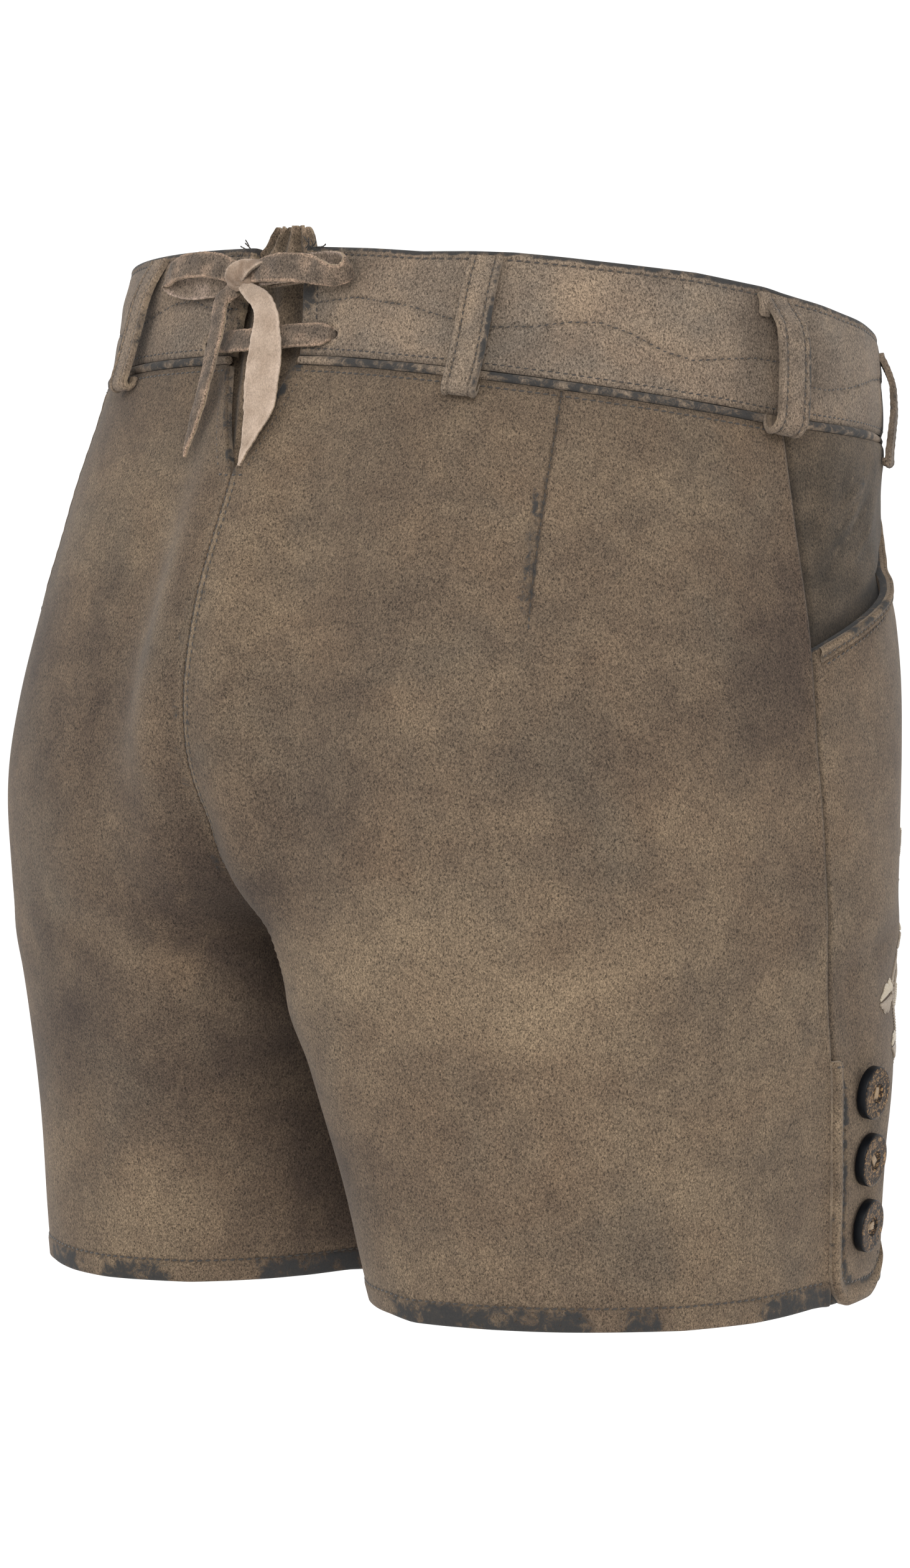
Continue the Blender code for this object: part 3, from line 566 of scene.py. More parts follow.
def noise(
    tree: bpy.types.NodeTree, where: bpy.types.NodeSocket, size_mm: float, detail: float,
    roughness: float = 0.5, distortion: float = 0.0,
) -> bpy.types.NodeSocket:
    """A noise pattern of that real size, read at a place."""
    return add_node(
        tree, "ShaderNodeTexNoise", {"Vector": where}, in_Scale=1 / (size_mm * MM), in_Detail=detail,
        in_Roughness=roughness, in_Distortion=distortion,
    ).outputs["Fac"]


@dataclass(frozen=True)
class Finish:
    """A surface finish: a node material made at its first use."""

    name: str

    def material(self) -> bpy.types.Material:
        """The material, made once."""
        made = bpy.data.materials.get(self.name)
        if made is None:
            made = bpy.data.materials.new(self.name)
            made.use_nodes = True
            tree = made.node_tree
            shader = tree.nodes["Principled BSDF"]
            self.paint(tree, shader, add_node(tree, "ShaderNodeTexCoord").outputs["Object"])
        return made

    def paint(self, tree: bpy.types.NodeTree, shader: bpy.types.Node, place: bpy.types.NodeSocket) -> None:
        """Adds the finish's own nodes: each finish has its own way."""
        raise NotImplementedError

    @staticmethod
    def join(
        tree: bpy.types.NodeTree, shader: bpy.types.Node, colour: bpy.types.NodeSocket,
        relief: bpy.types.NodeSocket, strength: float, depth_mm: float, **values: float,
    ) -> None:
        """Joins a colour and a relief to the shader.

        Args:
            tree: The material's node tree.
            shader: Its main shader.
            colour: The colour's socket.
            relief: The socket of the height of the fine relief.
            strength: How strongly the relief bends the light.
            depth_mm: How deep the relief is.
            **values: The shader's plain values, by input name with _ for a space.
        """
        tree.links.new(colour, shader.inputs["Base Color"])
        bump = add_node(
            tree, "ShaderNodeBump", {"Height": relief}, in_Strength=strength, in_Distance=depth_mm * MM,
        )
        tree.links.new(bump.outputs["Normal"], shader.inputs["Normal"])
        for name, value in values.items():
            shader.inputs[name.replace("_", " ")].default_value = value


@dataclass(frozen=True)
class Suede(Finish):
    """Waxed goat suede, dyed, then brushed and rubbed: matt, with a short nap that breaks up the light.

    The eye gets cool and warm clouds, small blotches, slanting hairs of the nap, and charcoal where
    an edge is rubbed. Vertex attributes steer it: tone, which also carries some painted shade and
    highlight, rub, and a darkening for dirt and for painted shade in seams, grooves and folds.
    """

    warm: str
    cool: str
    dark: str
    light: str
    rubbed: str = "#252627"
    cloud_mm: float = 48.0
    blotch_mm: float = 13.0
    nap_mm: float = 1.25  # tufts of nap
    hair_mm: float = 0.52  # its single hairs
    nap_contrast: float = 0.7
    bump_mm: float = 0.2

    HAIR_TURN = (0.35, 0.6, 0.0)  # the hairs lie slanted, and are longer than wide
    HAIR_STRETCH = (1.0, 1.0, 0.7)
    # the dark brown of dirt and of painted shade
    GRIME_AND_SHADE = "#1c1814"

    def paint(self, tree: bpy.types.NodeTree, shader: bpy.types.Node, place: bpy.types.NodeSocket) -> None:
        """Adds the clouds, blotches, nap, dirt with painted shade, and rubbed places."""
        slanted = add_node(
            tree, "ShaderNodeMapping", {"Vector": place},
            in_Rotation=self.HAIR_TURN, in_Scale=self.HAIR_STRETCH,
        ).outputs["Vector"]

        def spread(source, low: float, high: float, to_low: float = 0.0, to_high: float = 1.0):
            """The source, stretched from low..high to the new range."""
            return add_node(
                tree, "ShaderNodeMapRange", {0: source}, in_1=low, in_2=high, in_3=to_low, in_4=to_high,
            ).outputs[0]

        def attribute(word: str):
            """A vertex attribute's value."""
            return add_node(tree, "ShaderNodeAttribute", attribute_name=word).outputs["Fac"]

        def combine(operation: str, a, b):
            """Arithmetic on two sockets or numbers."""
            node = add_node(tree, "ShaderNodeMath", operation=operation)
            for i, value in enumerate((a, b)):
                if isinstance(value, bpy.types.NodeSocket):
                    tree.links.new(value, node.inputs[i])
                else:
                    node.inputs[i].default_value = value
            return node.outputs[0]

        def mixed(factor, a, b, way: str = "MIX"):
            """Two colours mixed; each is a socket or a hex value."""
            node = add_node(tree, "ShaderNodeMix", data_type="RGBA", blend_type=way)
            for i, value in ((0, factor), (6, a), (7, b)):
                if isinstance(value, bpy.types.NodeSocket):
                    tree.links.new(value, node.inputs[i])
                else:
                    node.inputs[i].default_value = linear(value) if isinstance(value, str) else value
            return node.outputs[2]

        clouds = noise(tree, place, self.cloud_mm, 5, 0.6, 0.6)
        blotches = noise(tree, place, self.blotch_mm, 3, 0.5, 0.5)
        nap = noise(tree, slanted, self.nap_mm, 2, 0.6, 0.6)
        hairs = noise(tree, slanted, self.hair_mm, 1, 0.5, 0.8)
        tone = combine("ADD", attribute("tone"), combine("MULTIPLY", combine("SUBTRACT", blotches, 0.5), 1.4))
        colour = mixed(spread(clouds, 0.28, 0.72), self.cool, self.warm)
        colour = mixed(spread(tone, 0.0, 1.0, 0.0, 0.9), colour, self.light)
        colour = mixed(spread(tone, 0.0, -1.0, 0.0, 0.9), colour, self.dark)
        grain = combine("ADD", combine("MULTIPLY", nap, 0.15), combine("MULTIPLY", hairs, 0.85))
        shade = spread(grain, 0.3, 0.7, 1 - self.nap_contrast, 1 + self.nap_contrast)
        colour = mixed(1.0, colour, shade, "MULTIPLY")
        # darken towards that dark brown where the vertex darkening asks: dirt, and painted shade in seams,
        # grooves and folds
        colour = mixed(combine("MULTIPLY", attribute("grime_and_shade"), 0.75), colour, self.GRIME_AND_SHADE)
        ragged = combine("MULTIPLY", combine("SUBTRACT", noise(tree, place, 5.0, 5, 0.65, 0.6), 0.5), 2.2)
        fine = combine("MULTIPLY", combine("SUBTRACT", hairs, 0.5), 0.9)
        ragged = combine("MULTIPLY", combine("ADD", ragged, fine), spread(attribute("rub"), 0.0, 0.2))
        rub = combine("ADD", attribute("rub"), ragged)
        colour = mixed(combine("MULTIPLY", spread(rub, 0.36, 0.68), 0.92), colour, self.rubbed)
        self.join(
            tree, shader, colour, grain, 0.9, self.bump_mm,
            Roughness=0.93, Specular_IOR_Level=0.2, Sheen_Weight=0.05, Sheen_Roughness=0.5,
        )


@dataclass(frozen=True)
class Horn(Finish):
    """Stag antler, sawn across and turned: a mottled brown face and a dark polished rim.

    The face shows the pale and dark streaks of the bone's pores; its UV map is in metres over the
    button, and the attribute rim marks the turned side.
    """

    name: str = "antler"
    pale: str = "#a8845a"
    brown: str = "#3c2918"
    dark: str = "#0a0807"
    rim: str = "#05070b"
    streak_mm: float = 1.6
    cloud_mm: float = 5.0

    def paint(self, tree: bpy.types.NodeTree, shader: bpy.types.Node, place: bpy.types.NodeSocket) -> None:
        """Adds the streaks, the clouds and the dark rim."""
        speck = noise(tree, place, self.streak_mm, 5.0, 0.7, 1.5)
        cloud = noise(tree, place, self.cloud_mm, 2.0, 0.5, 1.0)
        ramp = add_node(tree, "ShaderNodeValToRGB", {"Fac": speck})
        ramp.color_ramp.elements[0].position, ramp.color_ramp.elements[0].color = 0.43, linear(self.dark)
        ramp.color_ramp.elements[1].position, ramp.color_ramp.elements[1].color = 0.6, linear(self.pale)
        middle = ramp.color_ramp.elements.new(0.52)
        middle.color = linear(self.brown)
        shaded = add_node(
            tree, "ShaderNodeMix", {0: cloud, 6: ramp.outputs["Color"]}, data_type="RGBA",
            in_7=linear(self.dark),
        )
        rim = add_node(tree, "ShaderNodeAttribute", attribute_name="rim")
        colour = add_node(
            tree, "ShaderNodeMix", {0: rim.outputs["Fac"], 6: shaded.outputs[2]}, data_type="RGBA",
            in_7=linear(self.rim),
        )
        self.join(
            tree, shader, colour.outputs[2], speck, 0.35, 0.12, Roughness=0.45, Specular_IOR_Level=0.14,
        )


@dataclass(frozen=True)
class Yarn(Finish):
    """Twisted sewing or embroidery thread: a dull silk, lighter where its strands turn up."""

    colour: str
    shade: str
    roughness: float = 0.7
    twist_mm: float = 0.6

    def paint(self, tree: bpy.types.NodeTree, shader: bpy.types.Node, place: bpy.types.NodeSocket) -> None:
        """Adds the strands."""
        strands = noise(tree, place, self.twist_mm, 3.0)
        colour = add_node(
            tree, "ShaderNodeMix", {0: strands}, data_type="RGBA",
            in_6=linear(self.shade), in_7=linear(self.colour),
        )
        self.join(
            tree, shader, colour.outputs[2], strands, 0.6, 0.1, Roughness=self.roughness, Sheen_Weight=0.2,
        )


BODY_SUEDE = Suede("body suede", warm="#58493a", cool="#4c4237", dark="#362c25", light="#6a5b49")
BAND_SUEDE = Suede("waistband suede", warm="#645547", cool="#574f46", dark="#433a32", light="#756554")
DARK_SUEDE = Suede("hip piece suede", warm="#4b3f32", cool="#3f372e", dark="#29231c", light="#6f604d")
GUSSET_SUEDE = Suede("gusset suede", warm="#58493a", cool="#4d4337", dark="#352c24", light="#7a6857")
LACE_SUEDE = Suede(
    "lace suede", warm="#5a4d41", cool="#50463d", dark="#37302a", light="#836e5d", blotch_mm=5.0,
)
LACE_BACK = Suede(
    "lace inner side", warm="#6c5d4f", cool="#62564b", dark="#463c33", light="#87766a", blotch_mm=5.0,
)
LACE_FLESH = Suede(
    "lace flesh side", warm="#918071", cool="#877768", dark="#6c5a4b", light="#a08f80", rubbed="#6a412c",
    nap_contrast=0.2, blotch_mm=6.0,
)
FLESH_SIDE = Suede(
    "flesh side", warm="#665647", cool="#5c5245", dark="#4a3f34", light="#756553", nap_contrast=0.3,
)
CUT_EDGE = Suede(
    "cut edge", warm="#6a5b4c", cool="#5f554a", dark="#433a31", light="#86755f", nap_contrast=0.4,
)
SEAM_THREAD = Yarn("seam thread", "#2a2118", "#14100b")
TAN_THREAD = Yarn("button thread", "#8d7658", "#5f4c36")
BARK_THREAD = Yarn("brown embroidery thread", "#8b7d6b", "#5d5145", roughness=0.6, twist_mm=0.8)
CREAM_THREAD = Yarn("embroidery thread", "#a89b86", "#7c7263", roughness=0.55, twist_mm=0.8)
ANTLER = Horn()


# ---- Makers of pieces ----


def to_mesh(bm: bmesh.types.BMesh, name: str) -> bpy.types.Mesh:
    """A new mesh from the bmesh, which is freed."""
    mesh = bpy.data.meshes.new(name)
    bm.to_mesh(mesh)
    bm.free()
    return mesh


def add_object(name: str, data: bpy.types.ID) -> bpy.types.Object:
    """A new object in the scene."""
    made = bpy.data.objects.new(name, data)
    bpy.context.scene.collection.objects.link(made)
    return made


def vertex_places(mesh: bpy.types.Mesh) -> Array:
    """Where the mesh's vertices are, one row each."""
    places = np.empty(len(mesh.vertices) * 3)
    mesh.vertices.foreach_get("co", places)
    return places.reshape(-1, 3)


def set_mask(mesh: bpy.types.Mesh, word: str, values: Array | Sequence[float]) -> None:
    """Gives each vertex of the mesh a number that steers its material."""
    mesh.attributes.new(word, "FLOAT", "POINT").data.foreach_set("value", values)


def wall_mesh(
    name: str, points: Array, ways: Array, wall: Array | float, flat: tuple[Array, Array],
    masks: dict[str, Array] | None = None,
) -> bpy.types.Mesh:
    """A closed wall whose outer face follows a grid of points.

    Args:
        name: The mesh's name.
        points: The outer face, rows by columns by 3.
        ways: The outward direction at each point, along which the wall is thick.
        wall: The wall, in one piece or at each point.
        flat: Each point's place on the flat cut, across and down.
        masks: Vertex attributes, rows by columns.

    Returns:
        The mesh, with the material numbers of Face.
    """
    rows, columns = points.shape[:2]
    bm = bmesh.new()
    bmesh.ops.create_grid(bm, x_segments=columns - 1, y_segments=rows - 1, size=0.5)
    made = bmesh.ops.extrude_face_region(bm, geom=list(bm.faces), use_keep_orig=True)
    inside = [vert for vert in made["geom"] if isinstance(vert, bmesh.types.BMVert)]
    bmesh.ops.translate(bm, verts=inside, vec=(0, 0, -1))
    bmesh.ops.recalc_face_normals(bm, faces=bm.faces)
    mesh = to_mesh(bm, name)
    cells = vertex_places(mesh)
    column = np.rint((cells[:, 0] + 0.5) * (columns - 1)).astype(int)
    row = np.rint((0.5 - cells[:, 1]) * (rows - 1)).astype(int)
    within = cells[:, 2] < -0.5
    thick = np.broadcast_to(np.asarray(wall, float), (rows, columns))[row, column]
    placed = points[row, column] - ways[row, column] * (thick * within)[:, None]
    mesh.vertices.foreach_set("co", (placed * MM).ravel())
    corners = np.empty(len(mesh.loops), int)
    mesh.loops.foreach_get("vertex_index", corners)
    depth = within[corners].reshape(-1, 4).sum(axis=1)
    faces = np.select([depth == 0, depth == 4], [Face.OUTER.value, Face.INNER.value], Face.EDGE.value)
    mesh.polygons.foreach_set("material_index", faces.astype(np.int32))
    across, down = (np.broadcast_to(v, (rows, columns))[row, column][corners] * MM for v in flat)
    mesh.uv_layers.new(name="cut").data.foreach_set("uv", np.column_stack([across, down]).ravel())
    for word, values in {"tone": 0.0, "rub": 0.0, "grime_and_shade": 0.0, **(masks or {})}.items():
        spread = np.broadcast_to(np.asarray(values, float), (rows, columns))[row, column]
        set_mask(mesh, word, spread)
    i, j = columns // 2, rows // 2
    across_way, up_way = points[j, i] - points[j, i - 1], points[j - 1, i] - points[j, i]
    if np.cross(across_way, up_way) @ ways[j, i] < 0:
        mesh.flip_normals()
    mesh.update()
    return mesh


def add_piece(
    name: str, mesh: bpy.types.Mesh, materials: Sequence[bpy.types.Material],
    nodes: Sequence[str] = (), sharp: float = 60.0,
) -> bpy.types.Object:
    """Adds a smooth piece that rides on the garment.

    Args:
        name: The piece's name.
        mesh: Its mesh, in place.
        materials: Its materials, in the order of the mesh's material numbers.
        nodes: The solids it stands for.
        sharp: The angle, in degrees, past which an edge stays sharp.

    Returns:
        The object.
    """
    mesh.shade_smooth()
    mesh.set_sharp_from_angle(angle=math.radians(sharp))
    for material in materials:
        mesh.materials.append(material)
    piece = add_object(name, mesh)
    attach(piece, "root")
    if nodes:
        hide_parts(*nodes)
    LOG.info("%s: %d faces", name, len(mesh.polygons))
    return piece


def add_wall(
    name: str, points: Array, ways: Array, wall: Array | float, flat: tuple[Array, Array],
    masks: dict[str, Array | float], materials: Sequence[bpy.types.Material], nodes: Sequence[str],
) -> bpy.types.Object:
    """Adds a closed wall as a piece; what it takes is as in wall_mesh and add_piece."""
    return add_piece(name, wall_mesh(name, points, ways, wall, flat, masks), materials, nodes)


def leather(face: Suede, inside: Suede = FLESH_SIDE, edge: Suede = CUT_EDGE) -> list[bpy.types.Material]:
    """The materials of a leather wall, in the order of Face."""
    return [face.material(), inside.material(), edge.material()]


STRAP_TOP = (2, 5)  # row and column of a point that surely faces out


def smooth_ways(points: Array, ways: Array) -> Array:
    """Unit directions square to a strap's grid of points, on the side where ways points at its top."""
    square = unit(np.cross(np.gradient(points, axis=1), -np.gradient(points, axis=0)))
    row, column = STRAP_TOP
    return square if square[row, column] @ ways[row, column] > 0 else -square


class Stitching:
    """The stitches of one sewn piece, joined into one mesh."""

    def __init__(self, name: str) -> None:
        """Starts with no stitches."""
        self.name = name
        self._bm = bmesh.new()

    def sew(
        self, points: Array, ways: Array, pitch: float = 3.0, length: float = 2.4, radius: float = 0.42,
        slant: float = 7.0, sink: float = 0.05,
    ) -> None:
        """Adds a row of stitches.

        Args:
            points: The line they follow, on the leather.
            ways: The outward directions along it.
            pitch: The distance from one stitch to the next.
            length: The length of a stitch.
            radius: Half the thread's thickness.
            slant: How far each stitch turns from the line, in degrees.
            sink: How far its middle lies in the leather.
        """
        row = bmesh.new()
        along = np.concatenate([[0], np.cumsum(np.linalg.norm(np.diff(points, axis=0), axis=1))])
        count = int(along[-1] // pitch)
        places = (np.arange(count) + 0.5) * along[-1] / max(count, 1)
        for place in places:
            middle, ahead = (
                np.array([np.interp(place + step, along, column) for column in points.T]) for step in (0, 0.6)
            )
            way = unit(np.array([np.interp(place, along, column) for column in ways.T]))
            run = unit(ahead - middle)
            wide = np.cross(way, run)
            turn = math.radians(slant)
            run, wide = (
                run * math.cos(turn) + wide * math.sin(turn), wide * math.cos(turn) - run * math.sin(turn),
            )
            frame_of = np.eye(4)
            frame_of[:3, 0] = run * length / 2 * MM
            frame_of[:3, 1] = wide * radius * MM
            frame_of[:3, 2] = way * radius * MM
            frame_of[:3, 3] = (middle - way * sink) * MM
            bmesh.ops.create_uvsphere(
                row, u_segments=6, v_segments=4, radius=1.0, matrix=Matrix(frame_of.tolist()),
            )
        sewn = to_mesh(row, "row")
        self._bm.from_mesh(sewn)
        bpy.data.meshes.remove(sewn)

    def finish(self, yarn: Yarn = SEAM_THREAD, slot: str = "thread") -> bpy.types.Object:
        """Makes the stitches one piece."""
        bmesh.ops.recalc_face_normals(self._bm, faces=self._bm.faces)
        return add_piece(self.name, to_mesh(self._bm, self.name), [yarn.material()])


def tube_mesh(
    name: str, points: Array, ways: Array, radius: Array | float, sides: int = 10,
) -> bpy.types.Mesh:
    """A closed round tube along a line.

    Args:
        name: The mesh's name.
        points: Its middle line.
        ways: A direction across the line at each point.
        radius: Its radius, in one piece or at each point.
        sides: Its number of sides.

    Returns:
        The mesh, with its ends closed.
    """
    ahead = unit(np.gradient(points, axis=0))
    side = unit(np.cross(ahead, ways))
    up = np.cross(side, ahead)
    turns = np.linspace(0, 2 * np.pi, sides + 1)
    radius = np.broadcast_to(np.asarray(radius, float), len(points))[:, None, None]
    rim = up[:, None] * np.cos(turns)[None, :, None] + side[:, None] * np.sin(turns)[None, :, None]
    placed = points[:, None] + rim * radius
    bm = bmesh.new()
    bmesh.ops.create_grid(bm, x_segments=sides, y_segments=len(points) - 1, size=0.5)
    for vert in bm.verts:
        i, j = round((vert.co.x + 0.5) * sides), round((0.5 - vert.co.y) * (len(points) - 1))
        vert.co = placed[j, i] * MM
    bmesh.ops.remove_doubles(bm, verts=bm.verts, dist=0.001 * MM)
    bmesh.ops.holes_fill(bm, edges=[e for e in bm.edges if e.is_boundary])
    bmesh.ops.recalc_face_normals(bm, faces=bm.faces)
    return to_mesh(bm, name)


# ---- Panels ----

# Both panels: stitch lines, as distances from an edge
HEM_STITCH = 7.8
CENTRE_ROWS = (0.8, 3.3)  # both rows of the felled centre seam lie on the right panel
HEM_RISE = 0.5  # the turned hem is two walls thick, so it stands this proud
WAIST_STITCH = 1.9  # under the piping
NEAR_EDGE = (0.0, 0.25, 0.55, 0.9, 1.3, 1.7, 2.1, 2.5, 3.1, 4.2, 5.6)  # columns close to a sewn edge
PANEL_STEP = 2.0
EDGE_FADE = (2, 14)  # relief fades over this width towards a sewn edge
HEM_FADE = 1.5
RUB_FADE = 3.0
# painted shade around the crotch, between the legs
CROTCH_SHADE = (238.0, 30.0)  # its drop and its reach


@dataclass
class Leather:
    """A cut piece of leather that lies on the form."""

    side: Side

    def lift(self, distance: Array, drop: Array) -> Array:
        """How far its face stands off the form at each place."""
        return np.zeros(np.broadcast(distance, drop).shape)

    def seed(self, right: int) -> int:
        """The seed of its waves: that of the right half, or one more on the left."""
        return right + (self.side is Side.LEFT)

    def place(self, distance: Array, drop: Array, out: Array | float = 0.0) -> tuple[Array, Array]:
        """Points on its face, moved out, and the outward directions there."""
        return FORM.at(self.side, distance, drop, self.lift(distance, drop) + out)

    def trace(self, line: Sequence[tuple[float, float]] | Array, step: float = 0.8) -> tuple[Array, Array]:
        """Points and outward directions along a line of (distance, drop) points on its face."""
        places = even_points(line, step)
        return self.place(places[:, 0], places[:, 1])


def hem_height(above: Array) -> Array:
    """The relief of a turned hem, at heights above its edge: proud, stitched, its fold rounded."""
    proud = HEM_RISE * (1 - ease(above, HEM_STITCH - 0.6, HEM_STITCH + 1.4))
    return proud - 0.45 * bell(above - HEM_STITCH, 0.7) - rounded_edge(above, 1.1)


def hem_turned(above: Array) -> Array:
    """1 on the turned hem and 0 above it."""
    return 1 - ease(above, HEM_STITCH - HEM_FADE, HEM_STITCH + HEM_FADE)


def hem_rub(distance: Array, above: Array, rubs: Sequence[tuple[float, float]]) -> Array:
    """How rubbed a turned hem is: a little everywhere, and much between the ends of each rub."""

    def past(place: float) -> Array:
        """1 beyond that distance and 0 before it."""
        return ease(distance, place - RUB_FADE, place + RUB_FADE)

    rubbed = sum(past(start) * (1 - past(end)) for start, end in rubs)
    return (0.06 + 0.72 * rubbed) * hem_turned(above) * (1 - 0.35 * ease(above, 0, HEM_STITCH))


@dataclass
class BackPanel(Leather):
    """The back of one leg and seat: dart, centre seam, edge of the laced notch, and hem."""

    dart_top: tuple[float, float] = (120.6, 47.7)
    dart_end: tuple[float, float] = (132.2, 125.3)

    NEAR_DART = (-3.0, -1.9, -1.1, -0.5, 0.0, 0.5, 1.1, 1.9, 3.0)  # columns beside the dart
    COLUMNS = (56, 78)  # from the inner edge to the dart, and from the dart to the side seam
    CREASES = {
        Side.RIGHT: creases(
            (24, 226, 95, 78, 9, 1.1, 6), (40, 262, 120, 64, 13, 1.3, -8), (70, 300, 130, 30, 16, 0.9, 6),
            (215, 150, 60, 72, 8, 0.55), (150, 92, 70, 80, 12, 0.5), (60, 110, 90, 20, 16, 0.6, 5),
            (290, 215, 110, 4, 9, 0.7, 3), (262, 96, 60, 12, 6, 0.5), (180, 300, 120, 12, 22, -0.8),
            (110, 205, 150, 84, 20, 0.7, 8), (12, 245, 50, 62, 4, 0.8, 3),
        ),
        Side.LEFT: creases(
            (22, 230, 90, 74, 8, 1.2, 6), (46, 258, 120, 60, 12, 1.4, -8), (84, 302, 130, 26, 15, 1.0, 6),
            (204, 146, 70, 70, 9, 0.6), (140, 100, 80, 84, 13, 0.5), (66, 120, 90, 18, 15, 0.6, 5),
            (282, 225, 120, 6, 9, 0.8, 3), (170, 292, 120, 16, 22, -0.8), (120, 215, 150, 80, 20, 0.8, 8),
            (14, 248, 50, 58, 4, 0.9, 3),
        ),
    }
    PATCHES = {
        Side.RIGHT: patches(
            (90, 56, 130, 7, -0.15), (70, 100, 30, 16, 0.15), (105, 112, 34, 22, -0.12),
            (196, 160, 60, 24, -0.2, -8), (243, 192, 38, 34, -0.15), (230, 115, 28, 50, -0.8),
            (150, 232, 75, 18, 0.5, 6), (140, 190, 40, 16, 0.25), (225, 246, 60, 16, 0.45, 4),
            (300, 250, 30, 24, 0.1), (60, 190, 36, 24, -0.35), (44, 240, 22, 30, -0.65),
            (22, 280, 26, 44, -0.75), (42, 325, 40, 16, -0.25), (110, 306, 60, 22, -0.4),
            (240, 296, 45, 14, 0.2), (200, 330, 60, 12, 0.1), (270, 325, 34, 22, 0.4),
            # (12, 130) is a painted highlight on the slope just right of the centre seam
            (12, 130, 14, 40, 0.22), (118, 176, 40, 24, -0.1), (150, 130, 26, 26, -0.12),
            (60, 150, 26, 18, -0.2),
        ),
        Side.LEFT: patches(
            (60, 60, 90, 9, -0.3), (36, 100, 40, 26, 0.4), (60, 150, 40, 30, -0.35),
            (107, 231, 50, 26, -0.1), (190, 190, 50, 40, 0.25), (58, 246, 34, 50, -0.5),
            # (16, 276) is painted shade on the inner left leg, between the legs
            (16, 276, 26, 56, -0.95), (132, 318, 46, 22, 0.5), (50, 322, 30, 30, -0.6),
            (172, 262, 40, 40, -0.5), (110, 150, 50, 40, -0.35), (106, 270, 44, 34, -0.5),
            (30, 340, 30, 12, -0.5), (70, 300, 26, 28, -0.4), (200, 180, 60, 20, -0.4),
            (240, 110, 40, 40, -0.2), (240, 300, 50, 20, 0.25), (36, 190, 20, 16, -0.25),
            (12, 150, 12, 50, 0.06),
        ),
    }
    HEM_RUBS = {  # from and to
        Side.RIGHT: ((128, 206), (217, 232), (273, 312)),
        Side.LEFT: ((40, 81), (112, 141), (152, 180), (230, 262), (290, 312)),
    }
    SEAM_RIDGES = ((0.75, 2.2, 2.0), (-0.9, 0.0, 0.9))
    DART_RIDGES = ((-0.75, 0.0, 0.8), (0.35, 2.0, 1.6))
    WAIST_RIDGES = ((-0.5, 0.0, 1.0), (-0.3, WAIST_STITCH, 0.6))

    def inner(self, drop: Array) -> Array:
        """The distance of its inner edge."""
        return notch_edge(self.side, drop)

    def dart(self, drop: Array) -> Array:
        """The distance of the dart's line, carried on in proportion below its end."""
        line = np.interp(drop, (self.dart_top[1], self.dart_end[1]), (self.dart_top[0], self.dart_end[0]))
        return line + np.maximum(drop - self.dart_end[1], 0) * 0.08

    def lift(self, distance: Array, drop: Array) -> Array:
        """Its relief: slow waves, creases, the rolled centre seam, the dart and the hem."""
        distance, drop = alike(distance, drop)
        right = self.side is Side.RIGHT
        inset = distance - self.inner(drop)
        from_seam = FORM.seam(drop) - distance
        below_notch = ease(drop, NOTCH_BOTTOM - 4, NOTCH_BOTTOM + 4)
        fade = ease(inset, *EDGE_FADE) * ease(from_seam, *EDGE_FADE) * ease(drop, PANEL_TOP, PANEL_TOP + 14)
        height = Waves(self.seed(3), 62, 0.42).at(distance, drop) * fade
        height = height + total_height(self.CREASES[self.side], distance, drop) * (0.25 + 0.75 * fade)
        pucker = puckers(drop, 6.1) + 0.6 * puckers(drop, 3.7, 1)
        if right:  # a flat felled band, sewn down along its outer side
            rows = sum(bell(inset - row, 0.45) for row in CENTRE_ROWS)
            band = 0.5 * ease(inset, 0, 0.5) * (1 - ease(inset, 3.6, 4.6)) - 0.3 * rows
        else:
            band = 0.3 * bell(inset - 1.1, 0.9)
        band = band + 0.07 * pucker * bell(inset - 1.5, 3) - rounded_edge(inset, 0.5)
        height = height + below_notch * band
        in_notch = 1 - below_notch
        facing = 0.35 * (1 - ease(inset, 5.0, 6.6)) - 0.3 * bell(inset - 6.0, 0.6)
        height = height + in_notch * (facing - rounded_edge(inset, 1.2))
        height = height + ridges(from_seam, self.SEAM_RIDGES)
        height = height + 0.06 * puckers(drop, 5.3) * bell(from_seam - 2.5, 3)
        beside_dart = distance - self.dart(drop)
        in_dart = 1 - ease(drop, self.dart_end[1] - 12, self.dart_end[1] + 1)
        sewn = ridges(beside_dart, self.DART_RIDGES) + 0.12 * puckers(drop, 5.7) * bell(beside_dart, 3)
        height = height + in_dart * sewn + ridges(drop - PANEL_TOP, self.WAIST_RIDGES)
        return height + hem_height(HEM - drop)

    def grid(self) -> tuple[Array, Array]:
        """The places of its mesh: distances and drops, rows by columns."""
        drops = stations(PANEL_TOP, HEM, PANEL_STEP, (PANEL_TOP + WAIST_STITCH, HEM - HEM_STITCH, HEM - 0.6))
        start, dart, end = self.inner(drops), self.dart(drops), FORM.seam(drops)
        near, beside = np.array(NEAR_EDGE), np.array(self.NEAR_DART)
        first, second = (np.linspace(0, 1, count)[1:-1] for count in self.COLUMNS)
        a, b = start + near[-1], dart + beside[0]
        c, d = dart + beside[-1], end - near[-1]
        columns = [
            start[:, None] + near, a[:, None] + (b - a)[:, None] * first, dart[:, None] + beside,
            c[:, None] + (d - c)[:, None] * second, end[:, None] - near[::-1],
        ]
        distances = np.hstack(columns)
        return distances, np.broadcast_to(drops[:, None], distances.shape)

